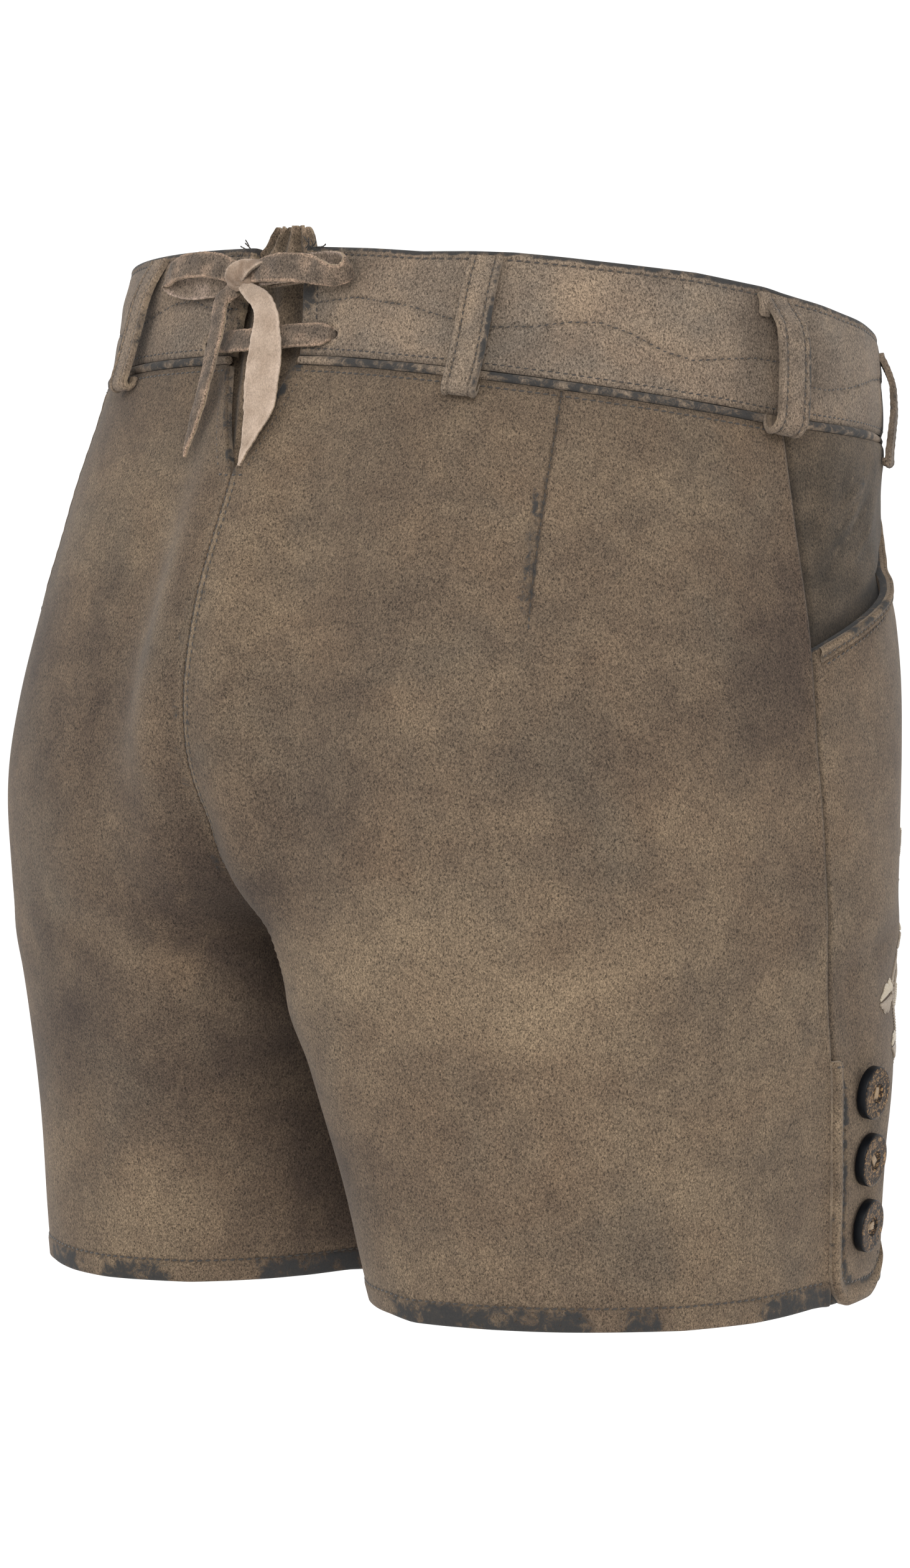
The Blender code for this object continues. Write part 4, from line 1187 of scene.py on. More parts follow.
    def masks(self, distance: Array, drop: Array) -> dict[str, Array]:
        """Its tone with some painted highlight and shade, its rubbed places, and its darkening for dirt and
        painted shade.
        """
        right = self.side is Side.RIGHT
        inset = distance - self.inner(drop)
        from_seam = FORM.seam(drop) - distance
        above = HEM - drop
        low_rub = hem_rub(distance, above, self.HEM_RUBS[self.side])
        in_notch = 1 - ease(drop, NOTCH_BOTTOM - 3, NOTCH_BOTTOM + 3)
        worn, near, far = (0.66, 1.2, 5.2) if right else (0.4, 0.8, 2.6)
        notch_rub = in_notch * (worn * (1 - ease(inset, near, far)))
        seam_rub = (1 - in_notch) * 0.25 * bell(inset - 3.5, 2)
        beside_dart = distance - self.dart(drop)
        in_dart = 1 - ease(drop, self.dart_end[1] - 10, self.dart_end[1])
        pressed = 0.48 * ease(drop, 66, 88) * bell(beside_dart + 2.4, 2.6)
        dart_rub = in_dart * (pressed + 0.25 * bell(beside_dart, 1.2))
        tone = total_tone(self.PATCHES[self.side], distance, drop)
        tone = tone + 0.16 * Waves(self.seed(21), 70, 1.0).at(distance, drop)
        # painted highlight along the raised centre seam below the notch
        tone = tone + (1 - in_notch) * (0.5 if right else 0.2) * bell(inset - 2.0, 1.8)
        tone = tone - 0.1 * hem_turned(above)
        # painted shade in a strip beside the centre seam, strongest on the left, where the key light falls on
        # the slope
        tone = tone - (1 - in_notch) * (0.1 if right else 0.45) * bell(inset - 8, 7)
        # darkening along the side seam, waist seam, centre seam rows, dart and hem stitching: dirt and
        # painted shade in their grooves
        grime_and_shade = 0.6 * bell(from_seam, 1.2) + 0.45 * bell(drop - PANEL_TOP, 1.6)
        rows = sum(bell(inset - row, 0.4) for row in CENTRE_ROWS)
        grime_and_shade = grime_and_shade + (1 - in_notch) * (0.7 * bell(inset, 0.35) + 0.5 * rows * right)
        grime_and_shade = grime_and_shade + in_dart * 0.7 * bell(beside_dart, 0.6) + 0.5 * bell(above - HEM_STITCH, 0.5)
        # painted shade around the crotch: a darker tone and more darkening between the legs
        crotch = bell(np.hypot(distance * 0.6, drop - CROTCH_SHADE[0]), CROTCH_SHADE[1])
        return {
            "tone": tone - 0.3 * crotch, "rub": low_rub + notch_rub + seam_rub + dart_rub,
            "grime_and_shade": grime_and_shade + 0.25 * crotch,
        }

    def build(self) -> bpy.types.Object:
        """Makes the panel and its stitches."""
        distance, drop = self.grid()
        points, ways = self.place(distance, drop)
        word = self.side.word
        panel = add_wall(
            f"back_leather_{word}", points, ways, PANEL_WALL, (distance, drop), self.masks(distance, drop),
            leather(BODY_SUEDE), [f"back_panel_{word}"],
        )
        self.stitch()
        return panel

    def stitch(self) -> None:
        """Sews its dart, its centre seam, its notch facing, its waist and its hem."""
        thread = Stitching(f"back_stitches_{self.side.word}")
        ends = self.inner(HEM) + 4, FORM.seam(HEM) - 4
        thread.sew(*self.trace([(end, HEM - HEM_STITCH) for end in ends]))
        waist = PANEL_TOP + WAIST_STITCH
        thread.sew(*self.trace([(self.inner(waist) + 2, waist), (FORM.seam(waist) - 2, waist)]), pitch=2.8)
        thread.sew(*self.trace([self.dart_top, self.dart_end]), pitch=2.6, length=2.1, radius=0.34)
        drops = np.arange(WAIST_SEAM + 3, NOTCH_BOTTOM - 1.5, 1.0)
        facing = np.column_stack([self.inner(drops) + 6.0, drops])
        thread.sew(*self.trace(facing), pitch=2.6, length=2.0, radius=0.36)
        thread.sew(*self.trace([(0.6, NOTCH_BOTTOM + 0.6), (6.6, NOTCH_BOTTOM + 0.2)]), pitch=2.4, length=2.0)
        drops = np.arange(NOTCH_BOTTOM + 2, CROTCH - 6, 1.0)
        for offset in CENTRE_ROWS if self.side is Side.RIGHT else ():
            seam = np.column_stack([self.inner(drops) + offset, drops])
            thread.sew(*self.trace(seam), pitch=2.7, length=1.9, radius=0.38, slant=12)
        thread.finish()


@dataclass
class FrontPanel(Leather):
    """The front of one leg, from the pocket mouth and the waist seam to the hem."""

    NOMINAL_WIDTH = 250.0  # for the spacing of the columns
    COLUMNS = 118
    LEVEL = 140.0  # rows are level below this drop
    UPPER = 80.0  # parts into which the rows above that are spaced
    CREASES = {
        Side.RIGHT: creases(
            (330, 200, 130, 6, 12, 0.7, 5), (395, 190, 110, -14, 14, 0.9, -6),
            (520, 232, 90, -76, 9, 1.1, -6), (500, 262, 120, -62, 13, 1.2, 8),
            (450, 300, 120, -24, 18, 0.9, 6), (365, 300, 90, 8, 16, -0.7), (440, 150, 90, -80, 14, 0.6),
        ),
        Side.LEFT: creases(
            (334, 215, 120, 8, 12, 0.8, 5), (390, 180, 120, -10, 14, 0.8, -6),
            (515, 236, 95, -72, 9, 1.2, -6), (495, 268, 120, -58, 13, 1.2, 8),
            (455, 306, 120, -20, 18, 0.9, 6), (370, 294, 90, 4, 16, -0.7), (446, 142, 90, -84, 14, 0.6),
        ),
    }
    PATCHES = patches(
        (300, 150, 22, 22, -0.3), (340, 205, 40, 30, 0.15), (420, 180, 60, 30, 0.25),
        (470, 240, 50, 40, -0.25), (560, 290, 60, 60, -0.6), (400, 300, 60, 24, 0.25),
        (330, 335, 30, 12, -0.3), (380, 250, 50, 24, -0.2),
    )
    HEM_RUBS = ((312, 324), (362, 392), (420, 470), (500, 530))

    def lift(self, distance: Array, drop: Array) -> Array:
        """Its relief: the gaping pocket, slow waves, creases, edges and the hem."""
        distance, drop = alike(distance, drop)
        across = front_across(distance, drop)
        below_top = drop - front_top(across)
        from_seam = distance - FORM.seam(drop)
        inset = FORM.end(drop) - distance
        fade = ease(inset, *EDGE_FADE) * ease(from_seam, *EDGE_FADE) * ease(below_top, 0, 14)
        sink = welt_sink(across) * (1 - ease(below_top, 5, 9))
        height = pocket_gape(across, drop) - hip_hollow(across, drop) - sink
        height = height + Waves(self.seed(5), 60, 0.42).at(distance, drop) * fade
        height = height + total_height(self.CREASES[self.side], distance, drop) * fade
        height = height - 0.9 * bell(from_seam, 1.1) - rounded_edge(inset, 0.9) + 0.4 * bell(inset - 1.6, 1.2)
        mouth = across < POCKET_END
        height = height - np.where(mouth, rounded_edge(below_top, 0.9), 0.5 * bell(below_top, 1.0))
        return height + hem_height(HEM - drop)

    def grid(self) -> tuple[Array, Array]:
        """The places of its mesh: distances and drops, rows by columns."""
        across = closer_at_ends(np.array(NEAR_EDGE) / self.NOMINAL_WIDTH, self.COLUMNS)[None]
        tops = front_top(across)
        upper = np.concatenate([[0, 0.6, 1.2, 2.0, 3.0], np.linspace(4.5, self.UPPER, 38)])
        upper = upper[:, None] / self.UPPER
        lower = stations(self.LEVEL, HEM, PANEL_STEP, (HEM - HEM_STITCH, HEM - 0.6))[1:, None]
        lower = np.broadcast_to(lower, (len(lower), across.shape[1]))
        drops = np.vstack([tops + (self.LEVEL - tops) * upper, lower])
        return front_distance(np.broadcast_to(across, drops.shape), drops), drops

    def masks(self, distance: Array, drop: Array) -> dict[str, Array]:
        """Its tone with painted shade at the crotch, its rubbed places, and its darkening for dirt and
        painted shade.
        """
        across = front_across(distance, drop)
        below_top, above = drop - front_top(across), HEM - drop
        from_seam = distance - FORM.seam(drop)
        inset = FORM.end(drop) - distance
        rub = hem_rub(distance, above, self.HEM_RUBS)
        rub = rub + np.where(across < POCKET_END, 0.8 * bell(below_top, 0.8), 0)
        tone = total_tone(self.PATCHES, distance, drop) + 0.16 * Waves(31, 66, 1.0).at(distance, drop)
        tone = tone - 0.3 * hem_turned(above)
        # darkening along the side seam, the centre front edge and the hem stitch: dirt and painted shade in
        # their grooves
        grime_and_shade = 0.7 * bell(from_seam, 1.2) + 0.4 * bell(inset, 1.0) + 0.5 * bell(above - HEM_STITCH, 0.5)
        # painted shade around the crotch: a darker tone and more darkening between the legs
        crotch = bell(np.hypot(inset * 0.6, drop - CROTCH_SHADE[0]), CROTCH_SHADE[1])
        return {"tone": tone - 0.3 * crotch, "rub": rub, "grime_and_shade": grime_and_shade + 0.25 * crotch}

    def build(self) -> bpy.types.Object:
        """Makes the panel and its stitches."""
        distance, drop = self.grid()
        points, ways = self.place(distance, drop)
        word = self.side.word
        panel = add_wall(
            f"front_leather_{word}", points, ways, PANEL_WALL, (distance, drop), self.masks(distance, drop),
            leather(BODY_SUEDE), [f"front_panel_{word}"],
        )
        thread = Stitching(f"front_stitches_{word}")
        ends = FORM.seam(HEM) + 44, FORM.end(HEM) - 6
        thread.sew(*self.trace([(end, HEM - HEM_STITCH) for end in ends]))
        for high, low in ((PANEL_TOP + 1, CROTCH - 6), (CROTCH + 8, HEM - 12)):
            drops = np.arange(high, low, 1.0)
            thread.sew(*self.trace(np.column_stack([FORM.end(drops) - 2.4, drops])), pitch=2.8, length=2.0)
        thread.finish()
        return panel


# ---- Pocket ----


@dataclass
class HipPiece(Leather):
    """The pocket bearer: it fills the hip above the mouth and runs on behind the front panel."""

    underlap: float = 16.0
    tuck: float = 2.4

    COLUMNS, ROWS = 128, 112
    CREASES = creases(
        (252, 66, 30, -52, 2.4, -0.55, 2), (249, 79, 26, -48, 2.2, -0.5, -2),
        (258, 74, 34, -38, 2.6, 0.5, 2), (262, 86, 30, -44, 2.5, -0.45), (244, 92, 34, -30, 4, 0.5),
        (272, 72, 40, -34, 4.5, -0.5, 3), (290, 66, 30, -20, 5, 0.4), (236, 70, 40, 8, 5, -0.4),
    )
    STROKES = patches(  # short rubbed strokes: distance, drop, half width, half length, tone, turn
        (247, 62, 0.9, 1.5, 0.7, 30), (253, 59, 0.9, 1.3, 0.5, 52), (257, 66, 1.0, 1.9, 0.8, 34),
        (250, 69, 0.9, 1.4, 0.6, 58), (263, 72, 0.9, 1.6, 0.7, 26), (255, 76, 0.9, 1.3, 0.6, 62),
        (245, 78, 1.0, 1.8, 0.8, 34), (252, 83, 0.9, 1.5, 0.8, 66), (246, 88, 1.1, 1.9, 0.9, 42),
        (261, 85, 0.9, 1.3, 0.5, 20), (268, 78, 0.9, 1.5, 0.6, 50), (241, 93, 0.9, 1.2, 0.6, 38),
        (271, 68, 0.9, 1.5, 0.5, 24), (264, 92, 0.9, 1.2, 0.5, 46),
    )

    def lift(self, distance: Array, drop: Array) -> Array:
        """Its relief, and the way it sinks behind the front panel."""
        share = front_across(distance, drop)
        mouth = pocket_mouth(share / POCKET_END)
        from_seam = distance - FORM.seam(drop)
        under = ease(drop - mouth, -11, -2)
        height = total_height(self.CREASES, distance, drop) + Waves(9, 24, 0.18).at(distance, drop)
        tucked = (self.tuck + welt_sink(share)) * under + hip_hollow(share, drop)
        return height * (1 - under) - tucked - 0.9 * bell(from_seam, 1.3) - 0.5 * bell(drop - PANEL_TOP, 1)

    def build(self) -> bpy.types.Object:
        """Makes the piece."""
        share = np.linspace(0, POCKET_END + 0.05, self.COLUMNS)[None]
        mouth = pocket_mouth(share / POCKET_END)
        bottom = np.maximum(mouth + self.underlap, PANEL_TOP + 10.0)
        drop = PANEL_TOP + (bottom - PANEL_TOP) * np.linspace(0, 1, self.ROWS)[:, None]
        distance = front_distance(np.broadcast_to(share, drop.shape), drop)
        points, ways = self.place(distance, drop)
        word = self.side.word
        streaks = -total_height(self.CREASES, distance, drop)
        # The tone follows the creases, as painted shade in their troughs and painted highlight on their
        # ridges; the darkening is dirt at the side seam and painted shade where the piece runs under the
        # pocket mouth.
        masks = {
            "tone": total_tone(self.STROKES, distance, drop) - 0.3 * streaks
            + 0.2 * Waves(33, 22, 1.0).at(distance, drop) + 0.5 * bell(drop - 50, 9) - 0.5,
            "rub": 0.2 * bell(distance - 256, 10) * bell(drop - 62, 14),
            "grime_and_shade": 0.8 * bell(distance - FORM.seam(drop), 2.0) + 0.8 * ease(drop - mouth, -9, -1),
        }
        piece = add_wall(
            f"hip_leather_{word}", points, ways, PANEL_WALL, (distance, drop), masks,
            leather(DARK_SUEDE), [f"hip_piece_{word}"],
        )
        return piece


@dataclass
class SeamAllowance:
    """The pressed allowances that close the seams from inside: in the middle and in each inner leg."""

    radius: float = 1.3
    depth: float = 1.9

    def build(self) -> None:
        """Makes all three."""
        behind = np.arange(NOTCH_BOTTOM - 1, CROTCH + 1, 2.0)
        before = np.arange(CROTCH - 2, PANEL_TOP + 2, -2.0)
        halves = FORM.back(0 * behind, behind, -self.depth), FORM.front(0 * before, before, -self.depth)
        points, ways = (np.vstack(pair) for pair in zip(*halves))
        self.sew("middle", points * (0, 1, 1), ways, "back_panel_right")
        drops = np.arange(CROTCH, HEM - 2, 2.0)
        for side in Side:
            behind = FORM.at(side, 0 * drops, drops, -self.depth)
            before = FORM.at(side, FORM.end(drops), drops, -self.depth)
            points, ways = ((a + b) / 2 for a, b in zip(behind, before))
            self.sew(f"leg_{side.word}", points, ways, f"back_panel_{side.word}")

    def sew(self, word: str, points: Array, ways: Array, node: str) -> None:
        """Makes the allowance along a line of points."""
        mesh = tube_mesh(f"seam_inside_{word}", points, unit(ways), self.radius)
        add_piece(mesh.name, mesh, [FLESH_SIDE.material()], [node])


@dataclass
class PocketWelt:
    """The bound edge of the pocket mouth, a rolled strip sewn to the front panel."""

    panel: FrontPanel
    width: float = 5.0
    wall: float = 1.2

    INSETS = (0, 0.15, 0.4, 0.75, 1.2, 1.7, 2.2, 2.7, 3.2, 3.7, 4.2, 4.6, 4.85, 5.0)  # of its rows
    GROOVE_ROW = INSETS.index(3.2)

    def build(self) -> bpy.types.Object:
        """Makes the welt and its two rows of stitches."""
        share = np.linspace(0.01, 0.412, 110)[None]
        inset = np.array(self.INSETS)[:, None]
        drop = front_top(share) + 0.4 + inset
        distance = front_distance(np.broadcast_to(share, drop.shape), drop)
        roll = 0.75 * bell(inset - 1.3, 1.1) - rounded_edge(inset, 0.7)
        roll = roll - rounded_edge(self.width - inset, 0.5)
        groove = 0.35 * bell(inset - 3.4, 0.5) - 0.1 * Waves(12, 9, 1.0).at(distance, drop)
        lift = APPLIED_GAP + self.wall + roll - groove
        lift = lift + pocket_gape(share, drop) - hip_hollow(share, drop) - welt_sink(share)
        points, ways = FORM.at(self.panel.side, distance, drop, lift)
        word = self.panel.side.word
        rub = 0.35 + 0.4 * Waves(13, 26, 1.0).at(distance, drop)
        masks = {
            "rub": rub * bell(inset - 1.2, 1.6), "tone": 0.5 * bell(inset - 1.2, 1.2),
            # darkening in the stitched groove: dirt and painted shade
            "grime_and_shade": 0.6 * bell(inset - 3.4, 0.5),
        }
        welt = add_wall(
            f"welt_leather_{word}", points, ways, self.wall, (distance, drop), masks,
            leather(BODY_SUEDE), [f"pocket_welt_{word}"],
        )
        thread = Stitching(f"welt_stitches_{word}")
        row = self.GROOVE_ROW
        thread.sew(points[row], ways[row], pitch=2.6, length=2.0, radius=0.36)
        below = np.linspace(0.02, 0.40, 80)
        drops = front_top(below) + self.width + 2.0
        line = np.column_stack([front_distance(below, drops), drops])
        thread.sew(*self.panel.trace(line), pitch=2.6, length=2.0, radius=0.36)
        thread.finish()
        return welt


# ---- Waistband ----


@dataclass
class Waistband(Leather):
    """Half of the waistband, from the notch to the centre front: holes, wandering quilting and piping."""

    hole: tuple[float, float] = (2.9, 1.9)
    top_stitch: float = 3.4
    low_stitch: float = BAND_BOTTOM - 2.2

    NEAR_NOTCH = (0.0, 0.3, 0.8, 1.4, 2.2, 3.2, 4.2, 4.8, 5.3, 5.7, 6.0, 6.3, 6.7, 7.2, 8.2)
    COLUMNS = 290
    PIPE_KEPT = (84, 205, 272)  # where the piping has kept its leather colour
    WAVE = {  # the wandering stitch line along the middle: distance, drop
        Side.RIGHT: (
            (16, 24.5), (18.3, 24.2), (35.5, 21.4), (60, 23.5), (76, 27), (89.4, 28.8), (106.1, 26.6),
            (119.3, 22.9), (129, 21.7), (139.6, 24.2), (151.8, 28.8), (163.9, 30.5), (175.5, 27.9),
            (187, 25.8), (197.5, 25.7), (211.8, 32.4), (222.3, 32.7), (236.9, 29.9), (259, 23.4),
            (276, 20.5), (300, 24), (330, 29), (360, 26),
        ),
        Side.LEFT: (
            (22, 27), (33.1, 26.2), (39.9, 25.2), (46.5, 22.1), (57.9, 22.6), (80.2, 28.3), (104, 31),
            (130, 27), (150, 23), (176, 25), (205, 31), (236, 30), (262, 24), (290, 21), (320, 25),
            (350, 29),
        ),
    }
    PATCHES = {
        Side.RIGHT: patches(
            # (184, 24) is a painted shadow that the side loop casts on the band
            (120, 22, 55, 20, 0.3), (52, 14, 22, 12, 0.35), (184, 24, 6, 20, -0.5), (60, 12, 40, 10, -0.25),
            (45, 34, 22, 9, 0.2), (95, 38, 14, 10, -0.35), (214, 20, 14, 22, -0.4), (245, 20, 22, 18, 0.15),
            (176, 36, 30, 8, -0.25), (160, 10, 30, 7, 0.2), (28, 24, 8, 16, 0.25),
        ),
        Side.LEFT: patches(
            (50, 30, 30, 14, -0.05), (64, 12, 26, 10, 0.3), (110, 22, 50, 20, 0.2), (80, 24, 12, 24, -0.3),
            (200, 22, 40, 18, -0.25),
        ),
    }

    def lift(self, distance: Array, drop: Array) -> Array:
        """Its relief: crowned and quilted, with a rolled top and its lower edge in the waist seam."""
        distance, drop = alike(distance, drop)
        inset = distance - notch_edge(self.side, drop)
        height = 0.55 * np.sin(np.pi * np.clip(drop / BAND_BOTTOM, 0, 1))
        height = height + Waves(self.seed(41), 34, 0.22).at(distance, drop * 1.6)
        quilt = from_line(distance, drop, self.WAVE[self.side])
        pucker = Waves(43, 5.5, 0.16).at(distance, drop * 0.5) * bell(quilt, 4.5)
        height = height + pucker - 0.5 * bell(quilt, 0.9)
        height = height - 0.45 * bell(drop - self.top_stitch, 0.75) - rounded_edge(drop, 1.7)
        height = height - 0.7 * bell(BAND_BOTTOM - drop, 1.4) - 0.25 * bell(self.low_stitch - drop, 0.6)
        return height - 0.3 * bell(inset - 6.0, 0.6) - rounded_edge(inset, 1.4)

    def masks(self, distance: Array, drop: Array) -> dict[str, Array]:
        """Its tone with a painted shadow beside the right side loop, its rubbed places, and its darkening for
        dirt and painted shade.
        """
        right = self.side is Side.RIGHT
        inset = distance - notch_edge(self.side, drop)
        strip = 1 - ease(inset, 4.6, 6.4)
        rub = 0.72 * (1 - ease(drop, 1.2, 2.9)) + 0.28 * strip + 0.5 * strip * bell(drop - 22, 6) * right
        rub = rub + 0.18 * bell(BAND_BOTTOM - drop, 2.0)
        tone = total_tone(self.PATCHES[self.side], distance, drop)
        tone = tone + 0.22 * Waves(self.seed(45), 32, 1.0).at(distance, drop) + 0.55 * strip
        # darkening along the wandering stitch line, the top stitching and the lower edge: dirt and painted
        # shade in their grooves
        grime_and_shade = 0.55 * bell(from_line(distance, drop, self.WAVE[self.side]), 0.55)
        grime_and_shade = grime_and_shade + 0.4 * bell(drop - self.top_stitch, 0.5)
        grime_and_shade = grime_and_shade + 0.5 * bell(BAND_BOTTOM - drop, 0.8)
        for place, level in LACE_HOLES[self.side.word]:
            tone = tone + 0.7 * bell(np.hypot(distance - place, drop - level) - 3.6, 0.9)
        return {"tone": tone, "rub": rub, "grime_and_shade": grime_and_shade}

    def build(self) -> bpy.types.Object:
        """Makes the band with its two holes cut, its stitches and its piping."""
        word = self.side.word
        drops = stations(0.0, BAND_BOTTOM, 1.35, (self.top_stitch, self.low_stitch))
        drops = np.unique(np.concatenate([[0, 0.25, 0.6, 1.1, 1.7], drops[drops > 2.1]]))
        start = notch_edge(self.side, drops)[:, None]
        end = FORM.end(drops)[:, None]
        near = np.array(self.NEAR_NOTCH)
        rest = np.linspace(0, 1, self.COLUMNS)[1:]
        distance = np.hstack([start + near, start + near[-1] + (end - start - near[-1]) * rest])
        drop = np.broadcast_to(drops[:, None], distance.shape)
        points, ways = self.place(distance, drop)
        masks = self.masks(distance, drop)
        mesh = wall_mesh(f"band_solid_{word}", points, ways, BAND_WALL, (distance, drop), masks)
        mesh = self.punched(mesh, f"waistband_leather_{word}")
        band = add_piece(mesh.name, mesh, leather(BAND_SUEDE), [f"waistband_{word}"])
        self.stitch()
        self.piping()
        return band

    def punched(self, mesh: bpy.types.Mesh, name: str) -> bpy.types.Mesh:
        """The mesh with its oval lace holes cut through."""
        blank = add_object("blank", mesh)
        bm = bmesh.new()
        for place, level in LACE_HOLES[self.side.word]:
            point, way = self.place(np.array(place), np.array(level))
            oval = Matrix.Diagonal((self.hole[0] * MM, self.hole[1] * MM, MM, 1.0))
            bmesh.ops.create_cone(
                bm, cap_ends=True, segments=24, radius1=1, radius2=1, depth=12,
                matrix=stood(Vector(point) * MM, way) @ oval,
            )
        punch = add_object("punch", to_mesh(bm, "punch"))
        cut = blank.modifiers.new("punch", "BOOLEAN")
        cut.operation, cut.object = "DIFFERENCE", punch
        bpy.context.view_layer.update()
        made = bpy.data.meshes.new_from_object(blank.evaluated_get(bpy.context.evaluated_depsgraph_get()))
        made.name = name
        for spare in (blank, punch):
            bpy.data.objects.remove(spare, do_unlink=True)
        return made

    def stitch(self) -> None:
        """Sews its top edge, its lower edge, its notch facing and the wandering line."""
        thread = Stitching(f"band_stitches_{self.side.word}")
        last = FORM.end(0.0) - 3
        inner = notch_edge(self.side, self.top_stitch)
        thread.sew(*self.trace([(inner + 6, self.top_stitch), (last, self.top_stitch)]), pitch=3.2)
        low = self.low_stitch
        inner = notch_edge(self.side, low)
        lower = self.trace([(inner + 1, low), (FORM.end(low) - 3, low)])
        thread.sew(*lower, pitch=2.8, length=2.1, radius=0.36)
        drops = np.arange(1.5, BAND_BOTTOM - 1.5, 1.0)
        facing = np.column_stack([notch_edge(self.side, drops) + 6.0, drops])
        thread.sew(*self.trace(facing), pitch=2.6, length=2.0)
        thread.sew(*self.trace(self.WAVE[self.side]), pitch=2.7, length=2.1, radius=0.38, slant=14)
        thread.finish()

    def piping(self) -> bpy.types.Object:
        """The bead in the waist seam: rubbed charcoal, but leather-coloured near the notch and the loops."""
        start = notch_edge(self.side, WAIST_SEAM) + 0.4
        distance = np.linspace(start, FORM.end(WAIST_SEAM), 320)
        sunk = -0.95 - ease(distance, 260, 276)
        points, ways = FORM.at(self.side, distance, np.full_like(distance, WAIST_SEAM), sunk)
        radius = 1.6 + Waves(51, 30, 0.06).at(distance, distance * 0)
        word = self.side.word
        mesh = tube_mesh(f"piping_{word}", points, ways, radius)
        nearest = np.abs(vertex_places(mesh)[:, None] / MM - points[None]).sum(axis=-1).argmin(axis=1)
        here = distance[nearest]
        kept = sum(0.75 * bell(here - middle, 9.0) for middle in self.PIPE_KEPT)
        worn = 0.5 * ease(here - start, 8, 15) - kept
        set_mask(mesh, "rub", worn + 0.1)
        set_mask(mesh, "tone", 0.3 - 0.2 * worn)
        return add_piece(mesh.name, mesh, [BAND_SUEDE.material()], [f"waist_piping_{word}"])


